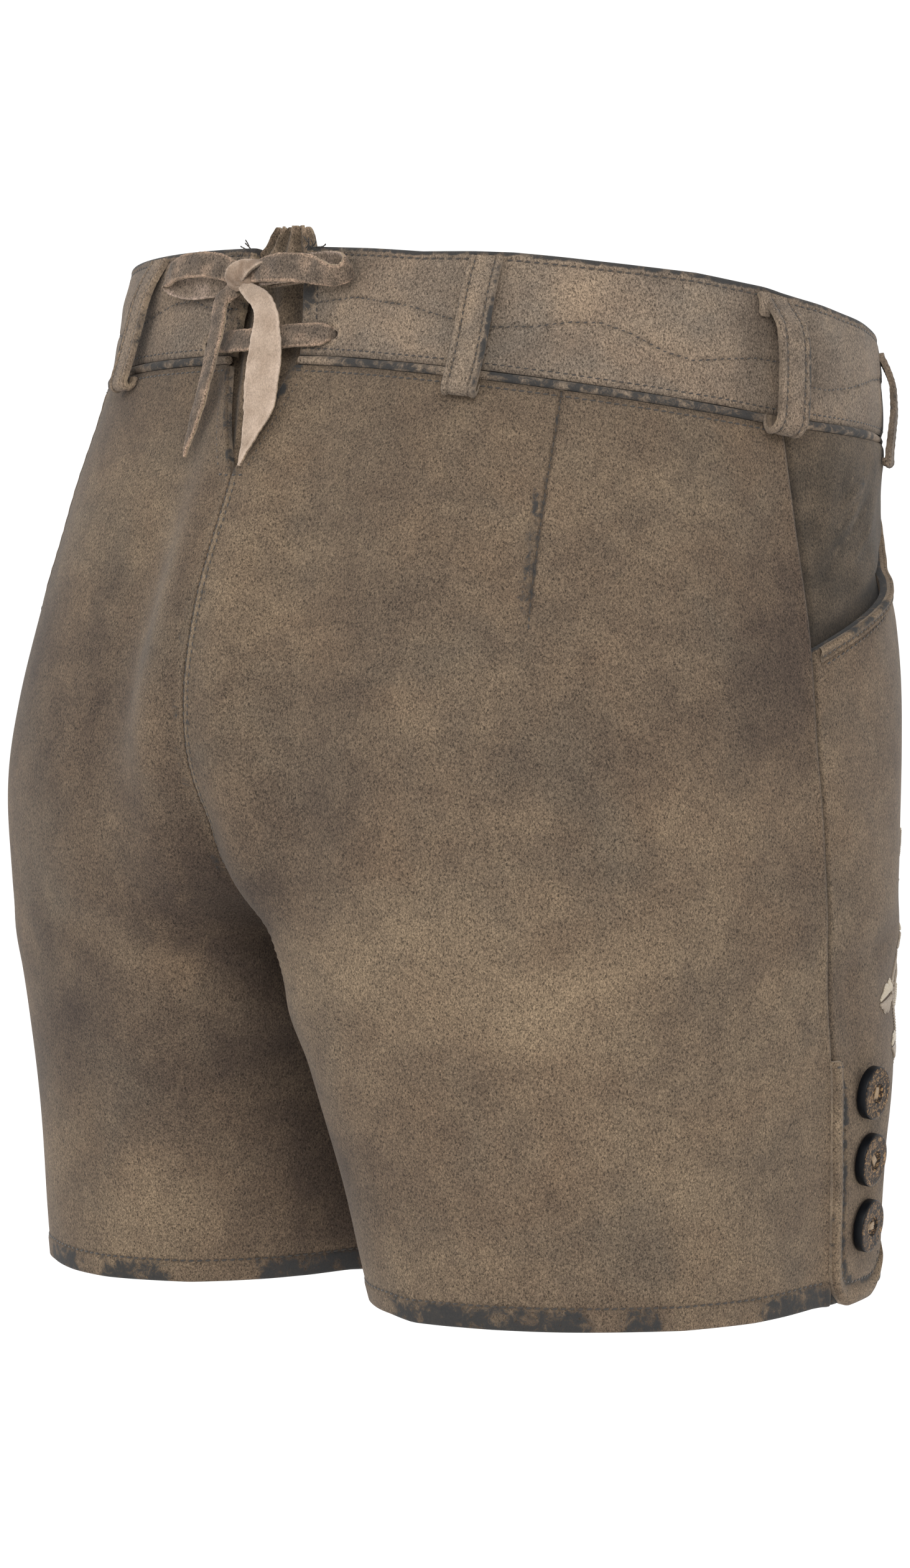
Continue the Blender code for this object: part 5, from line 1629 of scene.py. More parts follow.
@dataclass
class BeltLoop:
    """A belt loop: a strap sewn down at its top, and under its turned end in the waist seam."""

    side: Side
    where: str
    width: float = 12.0
    wall: float = 1.8

    PLACES = {  # its distance at the top and at the waist seam
        "back_right": (86, 86.5), "back_left": (74.5, 80), "side_right": (192, 200), "side_left": (192, 200),
        "front_right": (280, 282), "front_left": (280, 282),
    }
    PROUD = {"back": 0.6, "side": 5.3, "front": -0.3}  # how much further out than its solid it has stretched
    HIGH = ((2.4, 0.25), (5, 0.8), (11, 2.2), (18, 3.4), (27, 3.9), (39, 3.9))
    LOW = ((8.4, 0.25), (12, 1.4), (17, 2.9), (25, 4.2), (34, 4.1), (43, 3.0), (51, 1.9))
    CLEARANCE = {"back": HIGH, "side": HIGH, "front": LOW}  # drop, clearance behind the strap
    TURN_DROP = {"back": 51.2, "side": 46.6, "front": 54.6}  # where its end turns under
    # the front loop's -0.5 is painted shade on a loop that hangs in shade
    TONE = {"back": 0.2, "side": 0.0, "front": -0.5}
    TAB = (185.6, 2.1)  # the folded-out end beside the top of a side loop: its middle and half its width
    TAB_STEP, TAB_COLUMNS, TAB_WALL = 0.5, 13, 1.6
    STEP = 1.0
    NEAR_EDGE = (0.0, 0.2, 0.55, 1.0, 1.7, 2.1, 2.4, 2.7, 3.1, 4.0, 5.0)
    STITCH_COLUMN = NEAR_EDGE.index(2.4)
    RIDGES = ((-0.4, 2.4, 0.5), (0.25, 1.0, 0.9))
    TAB_FOLD = ((2.4, 1.8), (4.0, 2.8), (6.6, 3.5), (9.2, 3.4), (10.8, 2.6), (11.0, 2.1))  # drop, out
    TUCK = 1.6  # how far the turned end runs up into the seam

    def path(self) -> Array:
        """The strap's outer face as rows of (drop, out): down the front, round the turn, up to the seam."""
        drops, clearances = np.array(self.CLEARANCE[self.where], float).T
        start = drops[0]
        rows = np.linspace(start, drops[-1], 34)
        clear = smooth_between(drops, clearances[:, None], rows)[:, 0]
        grown = clear - 0.25 + self.PROUD[self.where] * ease(rows, 2, 15)
        clear = 0.25 + grown * ease(rows, start - 1.5, start + 4)
        front = np.column_stack([rows, clear + self.wall])
        outermost, innermost = front[-1, 1], APPLIED_GAP
        radius, middle = (outermost - innermost) / 2, (outermost + innermost) / 2
        angles = np.linspace(0, np.pi, 18)
        low = self.TURN_DROP[self.where]
        turn = np.column_stack([low + radius * np.sin(angles), middle + radius * np.cos(angles)])
        return even_points(np.vstack([front, turn, [(low - self.TUCK, innermost)]]), self.STEP)

    def build(self) -> bpy.types.Object:
        """Makes the strap and its two rows of stitches."""
        top, seam = self.PLACES[f"{self.where}_{self.side.word}"]
        drop, out = (column[:, None] for column in self.path().T)
        edge = np.array(self.NEAR_EDGE)
        across = np.concatenate([edge, self.width - edge[::-1]])[None]
        inset = np.minimum(across, self.width - across)
        middle = top + (seam - top) * drop / WAIST_SEAM
        relief = ridges(inset, self.RIDGES) + 0.08 * np.sin(drop * 2.1 + inset)
        distance = middle + across - self.width / 2
        points, ways = FORM.at(self.side, distance, drop, out)
        strap = smooth_ways(points, ways)
        sunk = rounded_edge(inset, 0.7)
        points = points + strap * (relief - sunk)[..., None]
        length = np.arange(len(drop))[:, None] / len(drop)
        word = f"{self.where}_{self.side.word}"
        worn_side = 0.35 + 0.65 * (across > self.width / 2)
        rub = 0.75 * worn_side * (1 - ease(inset, 0.3, 2.2)) * (0.3 + 0.7 * bell(length - 0.5, 0.28))
        masks = {
            # darkening along the stitch rows: dirt and painted shade in their grooves
            "rub": rub, "grime_and_shade": 0.55 * bell(inset - 2.4, 0.4),
            "tone": self.TONE[self.where] + 0.2 * Waves(61 + int(top), 12, 1.0).at(distance, drop),
        }
        loop = add_wall(
            f"loop_leather_{word}", points, strap, self.wall - sunk * 0.6, (across, drop), masks,
            leather(BAND_SUEDE), [f"belt_loop_{word}"],
        )
        thread = Stitching(f"loop_stitches_{word}")
        for column in (self.STITCH_COLUMN, -1 - self.STITCH_COLUMN):
            thread.sew(points[1:-12, column], strap[1:-12, column], pitch=2.7, length=2.0, radius=0.36)
        thread.finish()
        if self.where == "side":
            self.tab()
        return loop

    def tab(self) -> bpy.types.Object:
        """Makes the strap's spare end, folded out beside its top."""
        middle, half = self.TAB
        drop, out = (column[:, None] for column in even_points(self.TAB_FOLD, self.TAB_STEP).T)
        across = np.linspace(-half, half, self.TAB_COLUMNS)[None]
        inset = half - np.abs(across)
        points, ways = FORM.at(self.side, middle + across + 0.15 * drop, drop, out)
        fold = smooth_ways(points, ways)
        sunk = rounded_edge(inset, 0.7)
        masks = {"rub": 0.3 * bell(inset, 1.0), "tone": 0.3}
        return add_wall(
            f"loop_end_{self.side.word}", points - fold * sunk[..., None], fold, self.TAB_WALL - sunk * 0.6,
            (across, drop), masks, leather(BAND_SUEDE), [f"belt_loop_{self.where}_{self.side.word}"],
        )


# ---- Lace, bow and gusset ----


@dataclass
class Gusset:
    """The pleated insert behind the notch, raw at its top edge."""

    pleats: float = 3.5
    teeth: float = 4.5
    wall: float = 1.4

    GRID = (72, 105)  # rows, columns
    ROWS = (  # drop, left edge, right edge, inset, pleat depth
        (-6.4, -10.7, 6.7, 4.6, 1.0), (0, -16.5, 7.5, 4.8, 1.1), (7, -24, 14, 4.9, 1.1),
        (20, -29, 19, 5.0, 1.1), (46, -28, 21, 5.0, 1.1), (66, -15, 12, 4.6, 0.8), (86, -6, 6, 4.2, 0.4),
    )

    def build(self) -> bpy.types.Object:
        """Makes the gusset, with its wall going straight forwards."""
        down, across = np.linspace(0, 1, self.GRID[0])[:, None], np.linspace(0, 1, self.GRID[1])[None]
        knots, rows = np.linspace(0, 1, len(self.ROWS)), np.array(self.ROWS, float)
        drop, left, right, inset, depth = (np.interp(down, knots, column) for column in rows.T)
        sideways = left + (right - left) * across
        swing = 0.35 * np.sin(3 * down + 5 * across)
        wave = np.cos(2 * np.pi * self.pleats * across + swing)
        smooth = FORM.back(sideways, np.maximum(drop, 0))[0]
        bitten = 0.5 * Waves(71, 0.14, 1.0).at(across, across * 0)
        bitten = bitten + 1.5 * np.abs(np.sin(2 * np.pi * self.teeth * across)) - 1.0
        ragged = np.clip(1 - down * 14, 0, 1) * bitten
        folds = inset - depth * wave + 0.15 * Waves(72, 9, 1.0).at(sideways, drop)
        points = smooth + np.stack([0 * folds, -folds, np.maximum(-drop, 0) + ragged], -1)
        ways = np.broadcast_to(np.array([0.0, 1.0, 0.0]), points.shape)
        # tone: painted highlight on the pleats' crests and painted shade in their valleys, lighter at the raw
        # top edge and darker lower down; the darkening is painted shade in the valleys
        masks = {
            "tone": 0.2 + 0.2 * wave + 0.5 * np.clip(1 - down * 12, 0, 1) - 0.25 * ease(down, 0.1, 0.5),
            "grime_and_shade": 0.15 * np.clip(-wave, 0, 1),
        }
        gusset = add_wall(
            "gusset_leather", points, ways, self.wall, (sideways, drop), masks,
            leather(GUSSET_SUEDE, GUSSET_SUEDE), ["back_gusset"],
        )
        return gusset


class WidthWay(Enum):
    """Which way a lace's width runs: up the leather or sideways across it."""

    UP = "up"
    SIDEWAYS = "sideways"


@dataclass
class Lace:
    """A flat suede lace along a route: brown nap on one side, pale flesh on the other, edges ragged.

    A route's rows are: distance to the wearer's right of the middle back, drop, height off the
    leather, width, and how far the width leans out from the leather, in degrees.
    """

    name: str
    route: tuple[tuple[float, ...], ...]
    way: WidthWay
    nodes: tuple[str, ...]
    nap_out: bool = True  # whether the brown side faces away from the body at the start
    back: Suede = LACE_FLESH
    wall: float = LACE_WALL
    cup: float = 0.5
    seed: int = 1
    tone: float = 0.0
    steps: int = 14

    ACROSS = (-0.5, -0.485, -0.45, -0.38, -0.27, -0.14, 0, 0.14, 0.27, 0.38, 0.45, 0.485, 0.5)  # of the width

    def surface(self) -> tuple[Array, Array, Array]:
        """The lace's middle surface, the directions square to it, and its middle line."""
        table = np.array(self.route, float)
        share = np.linspace(0, len(table) - 1, (len(table) - 1) * self.steps + 1)
        right, drop, out, width, lean = smooth_between(range(len(table)), table, share).T
        middle, ways = FORM.back(right, drop, out)
        ahead = unit(np.gradient(middle, axis=0))
        upper, lower = FORM.back(right, drop - 1, out)[0], FORM.back(right, drop + 1, out)[0]
        base = unit(upper - lower) if self.way is WidthWay.UP else np.array([[-1.0, 0, 0]])
        lean = np.radians(lean)[:, None]
        wide = base * np.cos(lean) + ways * np.sin(lean)
        wide = unit(wide - ahead * (wide * ahead).sum(axis=1, keepdims=True))
        face = np.cross(wide, ahead)
        if (face[0] * ways[0]).sum() < 0:
            face = -face
        across, count = np.array(self.ACROSS), np.arange(len(share))[:, None]
        ragged = Waves(self.seed, 2.4, 0.1).at(count * 0.7, np.sign(across)[None] * 40)
        reach = width[:, None] * across + ragged * np.abs(across * 2) ** 6 * np.sign(across)
        bow = self.cup * (across * 2) ** 2 * (width[:, None] / 9)
        wobble = Waves(self.seed + 5, 14, 0.16).at(count * 1.0, across[None] * 9)
        points = middle[:, None] + wide[:, None] * reach[..., None]
        points = points - face[:, None] * (bow + wobble)[..., None]
        return points, np.broadcast_to(face[:, None], points.shape), middle

    def build(self) -> bpy.types.Object:
        """Makes the lace."""
        points, ways, _ = self.surface()
        across = np.linalg.norm(np.diff(points, axis=1), axis=-1)
        across = np.concatenate([np.zeros((len(points), 1)), np.cumsum(across, axis=1)], axis=1)
        inset = np.minimum(across, across[:, -1:] - across)
        round_off = rounded_edge(inset, 0.55)
        flip = 1 if self.nap_out else -1
        outer = points + ways * flip * (self.wall / 2 - round_off)[..., None]
        thick = self.wall - 2 * round_off * 0.9
        length = np.broadcast_to(np.arange(len(points))[:, None] * 1.0, across.shape)
        tone = self.tone + 0.8 * (1 - ease(inset, 0.2, 1.3))
        tone = tone + 0.25 * Waves(self.seed + 9, 14, 1.0).at(length, across * 2)
        return add_wall(
            self.name, outer, ways * flip, thick, (across, length), {"tone": tone},
            leather(LACE_SUEDE, self.back), self.nodes,
        )


CROSS_ROUTE = (
    (27.6, 36.9, -4.0, 5.0, 0), (27.4, 36.9, -0.8, 5.2, 0), (26.6, 36.9, 1.3, 6.0, 0),
    (23, 37.4, 1.9, 8.5, 0), (14.5, 38.2, 2.4, 8.8, 0), (4.6, 39.2, 2.4, 8.8, 0), (-6, 40, 2.4, 8.4, 0),
    (-16, 40.3, 2.2, 8.4, 0), (-25, 40.4, 1.7, 7.8, 0), (-32.6, 40.6, 1.3, 5.8, 0),
    (-33.4, 40.6, -0.8, 5.0, 0), (-33.6, 40.6, -4.0, 4.8, 0),
)
UPPER_ROUTES = {
    "right": (
        (27.0, 7.4, -4, 5.2, 0), (26.8, 7.4, -0.6, 5.6, 0), (24.4, 8.0, 1.3, 6.5, 0),
        (19, 9.5, 1.4, 7.5, 0), (10, 12, 1.6, 7.5, 0), (-1.5, 15, 2.4, 7, 0),
    ),
    "left": (
        (-32.4, 8.0, -4, 5.2, 0), (-32.2, 8.0, -0.6, 5.6, 0), (-30.4, 8.6, 1.2, 6.5, 0),
        (-27, 10, 1.2, 7, 0), (-21, 13, 1.2, 7, 0),
    ),
}
BOW_ROUTES = {
    "right": (
        (-5.0, 14.0, 8.4, 7.5, 0), (0.6, 13.0, 9.4, 9.5, 0), (8, 12.4, 10.2, 10.6, 0),
        (17, 12.8, 10.6, 10.4, 8), (25, 14.2, 10.4, 9.4, 24), (31, 15.0, 9.6, 8.6, 42),
        (35.4, 13.4, 8.0, 8.2, 56), (35.6, 10.2, 6.4, 8.2, 50), (31, 8.4, 5.0, 8.6, 32),
        (23, 8.8, 4.2, 9.2, 14), (13, 10.6, 4.0, 9.6, 4), (2, 13, 4.6, 9, 0), (-4, 15, 5.4, 7.5, 0),
    ),
    "left": (
        (-18.5, 13.2, 8.4, 8, 0), (-27.7, 10.4, 9.2, 9.5, 0), (-37, 9.4, 9.4, 9.5, 0),
        (-46, 9.8, 9.2, 9.2, 0), (-53, 11.8, 7.8, 8.2, 0), (-57.4, 14.4, 5.6, 6.5, 0),
        (-54, 16.8, 3.6, 6.8, 0), (-43, 18.2, 3.1, 8, 0), (-32, 17.6, 3.1, 8, 0), (-20, 16.6, 3.4, 7, 0),
    ),
}
TAIL_ROUTES = {
    "right": (
        (-9.2, 19.2, 7.6, 5.0, 0), (-5.4, 22.2, 7.8, 6.2, 0), (0.8, 26.4, 8.2, 8.0, -6),
        (4.4, 32.5, 8.0, 9.6, -12), (5.8, 40, 7.8, 11.4, -18), (7.4, 48, 7.6, 12.9, -20),
        (8.2, 55, 7.0, 13.3, -18), (9.2, 62, 6.0, 12.4, -14), (9.0, 65, 5.6, 10.4, -12),
        (7.9, 70.5, 4.6, 6.0, -8), (6.9, 75.5, 3.8, 2.6, 0), (6.3, 78.5, 3.3, 0.8, 0),
    ),
    "left": (
        (-15.6, 20.4, 6.4, 5.5, 0), (-21.0, 22.6, 6.8, 7, 6), (-24.0, 27, 7.4, 8.4, 12),
        (-22.0, 33, 7.8, 8.4, 14), (-20.8, 39, 8.0, 8.2, 14), (-21.4, 46, 7.6, 8.0, 14),
        (-22.8, 54, 6.6, 7.6, 14), (-24, 62, 5.6, 6.4, 12), (-25.6, 69, 4.6, 4.4, 10),
        (-27.2, 76, 3.4, 1.0, 8),
    ),
}
WRAP_ROUTE = (
    (-1.4, 9.0, 7.0, 4.5, 0), (-3.0, 10.2, 9.2, 6.2, 0), (-6.0, 12.2, 10.8, 7.2, 0),
    (-9.2, 14.6, 11.2, 7.6, 0), (-12.2, 17.0, 10.2, 7.2, 0), (-14.2, 19.2, 8.0, 6.2, 0),
    (-14.4, 20.8, 5.8, 5.4, 0),
)
KNOT_PLACE = (-9.0, 15.6, 5.8)  # right, drop, out
KNOT_RADII = (4.8, 4.6, 3.8)


@dataclass
class Bow:
    """The lace of the notch: its crossings, its bow, its knot and its two free tails."""

    def tails(self) -> None:
        """The free ends, which hang from the knot."""
        for word, route in TAIL_ROUTES.items():
            lace = Lace(
                f"lace_end_{word}", route, WidthWay.SIDEWAYS, (f"lace_tail_{word}",),
                nap_out=word == "left", seed=80,
            )
            tail = lace.build()
            _, _, middle = lace.surface()

    def knot(self) -> bpy.types.Object:
        """The lump of the knot, pressed and folded."""
        right, drop, out = KNOT_PLACE
        point, way = (v[0] for v in FORM.back(np.array([right]), np.array([drop]), out))
        bm = bmesh.new()
        bmesh.ops.create_uvsphere(bm, u_segments=40, v_segments=24, radius=1)
        for vert in bm.verts:
            fold = 1 + 0.08 * math.sin(5 * vert.co.x + 3 * vert.co.y) + 0.05 * math.sin(9 * vert.co.y - 2)
            vert.co = Vector([part * radius for part, radius in zip(vert.co, KNOT_RADII)]) * fold
        bmesh.ops.transform(bm, verts=bm.verts, matrix=stood(point, way))
        bmesh.ops.scale(bm, verts=bm.verts, vec=(MM, MM, MM))
        mesh = to_mesh(bm, "bow_knot")
        set_mask(mesh, "tone", [-0.9] * len(mesh.vertices))
        return add_piece("bow_knot", mesh, [LACE_FLESH.material()], ["lace_knot"])

    def build(self) -> None:
        """Makes every piece of the lace."""
        Lace("lace_crossing", CROSS_ROUTE, WidthWay.UP, ("lace_cross",), cup=0.2, seed=90).build()
        for word, route in UPPER_ROUTES.items():
            Lace(f"lace_top_{word}", route, WidthWay.UP, (f"lace_upper_{word}",), cup=0.2, seed=91).build()
        for word, route in BOW_ROUTES.items():
            Lace(f"bow_{word}", route, WidthWay.UP, (f"bow_loop_{word}",), back=LACE_BACK, seed=92).build()
        self.knot()
        Lace(
            "bow_wrap", WRAP_ROUTE, WidthWay.SIDEWAYS, ("lace_knot",),
            nap_out=False, cup=0.7, seed=94, tone=-0.8,
        ).build()
        self.tails()


# ---- Legs and front ----


@dataclass
class HornButton:
    """A turned antler button with a raised rim and tan thread in its sunk middle."""

    radius: float = 9.5
    steps: int = 44

    PROFILE = (  # share of the radius, height, from the back over the rim to the sunk middle
        (0, 0), (0.9, 0), (0.97, 0.12), (1, 0.5), (1, 1.9), (1, 3.1), (0.985, 3.55), (0.95, 3.78),
        (0.88, 3.82), (0.7, 3.72), (0.52, 3.74), (0.42, 3.84), (0.385, 3.78), (0.36, 3.4), (0.34, 3.02),
        (0.3, 2.92), (0, 2.88),
    )

    def build(self, name: str, node: str, point: Array, way: Array, turn: float) -> bpy.types.Object:
        """Makes one button.

        Args:
            name: Its name.
            node: The solid it stands for.
            point: Where its back lies, in millimetres.
            way: The direction it faces.
            turn: How far it is turned about that direction, in radians.

        Returns:
            The button.
        """
        bm = bmesh.new()
        for share, height in self.PROFILE:
            bm.verts.new((share * self.radius, 0, height))
        bm.verts.ensure_lookup_table()
        edges = [bm.edges.new((bm.verts[i], bm.verts[i + 1])) for i in range(len(self.PROFILE) - 1)]
        bmesh.ops.spin(
            bm, geom=list(bm.verts) + edges, cent=(0, 0, 0), axis=(0, 0, 1), angle=2 * math.pi,
            steps=self.steps, use_merge=True,
        )
        bmesh.ops.remove_doubles(bm, verts=bm.verts, dist=0.005)
        bmesh.ops.recalc_face_normals(bm, faces=bm.faces)
        rims = [ease(math.hypot(v.co.x, v.co.y), 0.93 * self.radius, 0.99 * self.radius) for v in bm.verts]
        place = stood(point, way) @ Matrix.Rotation(turn, 4, "Z")
        bmesh.ops.transform(bm, verts=bm.verts, matrix=place)
        bmesh.ops.scale(bm, verts=bm.verts, vec=(MM, MM, MM))
        mesh = to_mesh(bm, name)
        set_mask(mesh, "rim", [float(r) for r in rims])
        button = add_piece(name, mesh, [ANTLER.material()], [node], sharp=50)
        thread = Stitching(f"{name}_thread")
        for offset in (-0.9, -0.3, 0.35, 0.95):
            ends = [place @ Vector((offset, reach, 3.15)) for reach in (-2.3, 2.3)]
            line = np.array([ends[0], (ends[0] + ends[1]) / 2, ends[1]])
            thread.sew(line, np.array([way] * 3), pitch=4.4, length=5.0, radius=0.42, slant=offset * 6)
        thread.finish(TAN_THREAD)
        return button


@dataclass
class LegPlacket(Leather):
    """The buttoned strip on a leg: a rolled outer border, three buttons and a rounded lower end."""

    top: float = 267.0
    start: float = -2.4  # from the side seam: it laps over the back panel
    width: float = 43.5
    wall: float = 2.2
    corner: float = 14.0
    border: float = 6.0

    NEAR_BORDER = (0.0, 0.3, 0.7, 1.2, 1.9, 2.7, 3.5, 4.3, 5.0, 5.5, 5.9, 6.3, 6.7, 7.2, 8.0)
    NEAR_ENDS = (0.0, 0.3, 0.8, 1.5, 2.3, 3.1, 4.0, 5.0, 6.0, 7.0, 8.2)
    BUTTON_DROPS = (278.5, 302.0, 325.0)
    BUTTON_INSET = 21.0

    def inset(self, distance: Array, drop: Array) -> Array:
        """How far each place lies inside its outer edge, beside the side seam."""
        return distance - FORM.seam(drop) - self.start

    def bottom(self, inset: Array) -> Array:
        """The drop of its rounded lower end."""
        into = np.clip(self.corner - np.minimum(inset, self.width - inset), 0, self.corner)
        return HEM + 1.2 - (self.corner - np.sqrt(self.corner**2 - into**2))

    def border_inset(self, distance: Array, drop: Array) -> Array:
        """How far each place lies inside the outer and lower edge, which run into each other in a curve."""
        inset = self.inset(distance, drop)
        sides = np.maximum(np.stack([inset, self.bottom(inset) - drop]), 0.05)
        return (sides**-2.5).sum(axis=0) ** (-1 / 2.5)

    def sunk(self, distance: Array, drop: Array) -> Array:
        """1 where the strip runs out under the front panel at its top, and 0 where it shows."""
        tab = 1 - ease(self.inset(distance, drop), self.border - 0.8, self.border + 1.2)
        return (1 - ease(drop - self.top, 0.5, 13)) * (1 - tab)

    def lift(self, distance: Array, drop: Array) -> Array:
        """Its relief: the rolled border, a groove inside it, and rounded edges."""
        distance, drop = alike(distance, drop)
        inset, border = self.inset(distance, drop), self.border_inset(distance, drop)
        roll = 1.1 * bell(border - 2.6, 2.0) - 0.8 * bell(border - self.border - 0.3, 1.0)
        roll = roll - rounded_edge(border, 1.3)
        ends = rounded_edge(drop - self.top, 1.0) * (1 - ease(inset, 5, 8))
        ends = ends + rounded_edge(self.width - inset, 1.1)
        height = roll - ends + Waves(101, 22, 0.15).at(distance, drop)
        sunk = self.sunk(distance, drop)
        return (APPLIED_GAP + self.wall + height) * (1 - sunk) - 0.55 * sunk

    def build(self) -> bpy.types.Object:
        """Makes the strip, its stitches and its three buttons."""
        plain, far_edge = np.linspace(9, self.width - 2, 28), self.width - np.array((1.2, 0.6, 0.25, 0))
        across = np.concatenate([self.NEAR_BORDER, plain, far_edge])
        near = np.array(self.NEAR_ENDS) / (HEM - self.top)
        plain = np.linspace(near[6], 1 - near[-1], 56)[:-1]
        down = np.concatenate([near[:6], plain, 1 - near[::-1]])[:, None]
        drop = self.top + (self.bottom(across)[None] - self.top) * down
        distance = FORM.seam(drop) + self.start + across[None]
        points, ways = self.place(distance, drop)
        below = np.clip(drop - HEM + 0.05, 0, None)
        points = points - np.stack([0 * below, 0 * below, below], -1)
        sunk, border = self.sunk(distance, drop), self.border_inset(distance, drop)
        word = self.side.word
        masks = {
            "rub": 0.62 * bell(border - self.border - 0.9, 1.4) + 0.25 * (1 - ease(border, 0.2, 1.2)),
            # darkening in the groove inside the rolled border: dirt and painted shade
            "grime_and_shade": 0.5 * bell(border - self.border - 0.3, 0.8),
            "tone": 0.1 + 0.18 * Waves(103, 20, 1.0).at(distance, drop) + 0.4 * bell(border - 2.6, 1.6),
        }
        thick = self.wall * (1 - sunk) + 0.6 * sunk
        strip = add_wall(
            f"placket_leather_{word}", points, ways, thick, (across[None], drop), masks,
            leather(BODY_SUEDE), [f"leg_placket_{word}"],
        )
        self.stitch()
        for number, level in enumerate(self.BUTTON_DROPS, start=1):
            distance = np.array(FORM.seam(level) + self.start + self.BUTTON_INSET)
            point, way = FORM.at(self.side, distance, np.array(level), APPLIED_GAP + self.wall + SEAM_GAP)
            name = f"horn_button_{word}_{number}"
            turn = 0.9 * number + self.side.value
            HornButton().build(name, f"leg_button_{word}_{number}", point, way, turn)
        return strip

    def stitch(self) -> None:
        """Sews its border, its top bar and its curved lower end."""
        thread = Stitching(f"placket_stitches_{self.side.word}")
        drops = np.arange(self.top + 2, HEM - self.corner, 1.0)
        border = np.column_stack([FORM.seam(drops) + self.start + self.border, drops])
        thread.sew(*self.trace(border), pitch=2.8, length=2.1)
        bar = FORM.seam(self.top + 1.5) + self.start
        bar = self.trace([(bar + 0.8, self.top + 1.6), (bar + 6.2, self.top + 1.6)])
        thread.sew(*bar, pitch=2.2, length=1.9)
        turns = np.radians(np.linspace(180, 0, 60))
        reach = (self.width - 10) / 2
        low = HEM - 6.5 - 5.0 * (1 - np.sin(turns)) ** 2 * 1.6
        line = np.column_stack([FORM.seam(low) + self.start + self.width / 2 + reach * np.cos(turns), low])
        thread.sew(*self.trace(line), pitch=2.7, length=2.0)
        thread.finish()


@dataclass
class FrontFlap:
    """The drop front: one piece across the middle, held up by two horn buttons."""

    top: float = 12.0
    bottom: float = 165.0
    half_top: float = 88.0
    half_bottom: float = 74.0
    clear: float = 1.3
    button_inset: float = 15.0
    stitch_inset: float = 4.2

    NEAR_EDGE = (0, 0.3, 0.8, 1.6, 2.6, 3.5, 4.2, 4.9, 6.0)
    NOMINAL_SIZE = 160  # for the spacing near an edge
    GRID = (76, 70)  # columns, rows

    def half(self, drop: Array) -> Array:
        """Half its width at each drop."""
        wider = self.half_bottom - self.half_top
        return self.half_top + wider * (drop - self.top) / (self.bottom - self.top)

    def inset(self, sideways: Array, drop: Array) -> Array:
        """How far each place lies inside its nearest edge."""
        return np.minimum(self.half(drop) - np.abs(sideways), np.minimum(drop - self.top, self.bottom - drop))

    def place(self, sideways: Array, drop: Array) -> tuple[Array, Array]:
        """Points on its face, and the outward directions there."""
        edge = self.inset(sideways, drop)
        height = self.clear + PANEL_WALL + Waves(111, 60, 0.35).at(sideways, drop) * ease(edge, 0, 12)
        height = height - rounded_edge(edge, 1.0) + 0.45 * bell(edge - 1.8, 1.6)
        height = height - 0.35 * bell(edge - self.stitch_inset, 0.6)
        return FORM.front(sideways, drop, height)

    def build(self) -> bpy.types.Object:
        """Makes the flap, its stitches and its buttons."""
        near = np.array(self.NEAR_EDGE) / self.NOMINAL_SIZE
        across, down = (closer_at_ends(near, count) for count in self.GRID)
        drop = self.top + (self.bottom - self.top) * down[:, None]
        drop = np.broadcast_to(drop, (len(down), len(across)))
        sideways = self.half(drop) * (2 * across[None] - 1)
        points, ways = self.place(sideways, drop)
        edge = self.inset(sideways, drop)
        masks = {
            # darkening along the stitch line: dirt and painted shade in its groove
            "rub": 0.7 * (1 - ease(edge, 0.4, 1.8)), "grime_and_shade": 0.5 * bell(edge - self.stitch_inset, 0.5),
            "tone": 0.2 * Waves(113, 60, 1.0).at(sideways, drop) - 0.3 * bell(edge, 6),
        }
        flap = add_wall(
            "flap_leather", points, ways, PANEL_WALL, (sideways, drop), masks,
            leather(BODY_SUEDE), ["front_flap"],
        )
        thread = Stitching("flap_stitches")
        low, high = self.bottom - self.stitch_inset, self.top + self.stitch_inset
        ways_round = ((-1, high), (-1, low), (1, low), (1, high), (-1, high))
        corners = [(hand * (self.half(drop) - self.stitch_inset), drop) for hand, drop in ways_round]
        line = even_points(np.array(corners), 0.8)
        thread.sew(*self.place(line[:, 0], line[:, 1]))
        thread.finish()
        level = self.top + self.button_inset
        for side in Side:
            sideways = np.array(side.value * (self.half(level) - self.button_inset))
            point, way = FORM.front(sideways, np.array(level), self.clear + PANEL_WALL + SEAM_GAP)
            word = side.word
            HornButton().build(f"flap_horn_{word}", f"flap_button_{word}", point, way, 0.4 + side.value)
        return flap


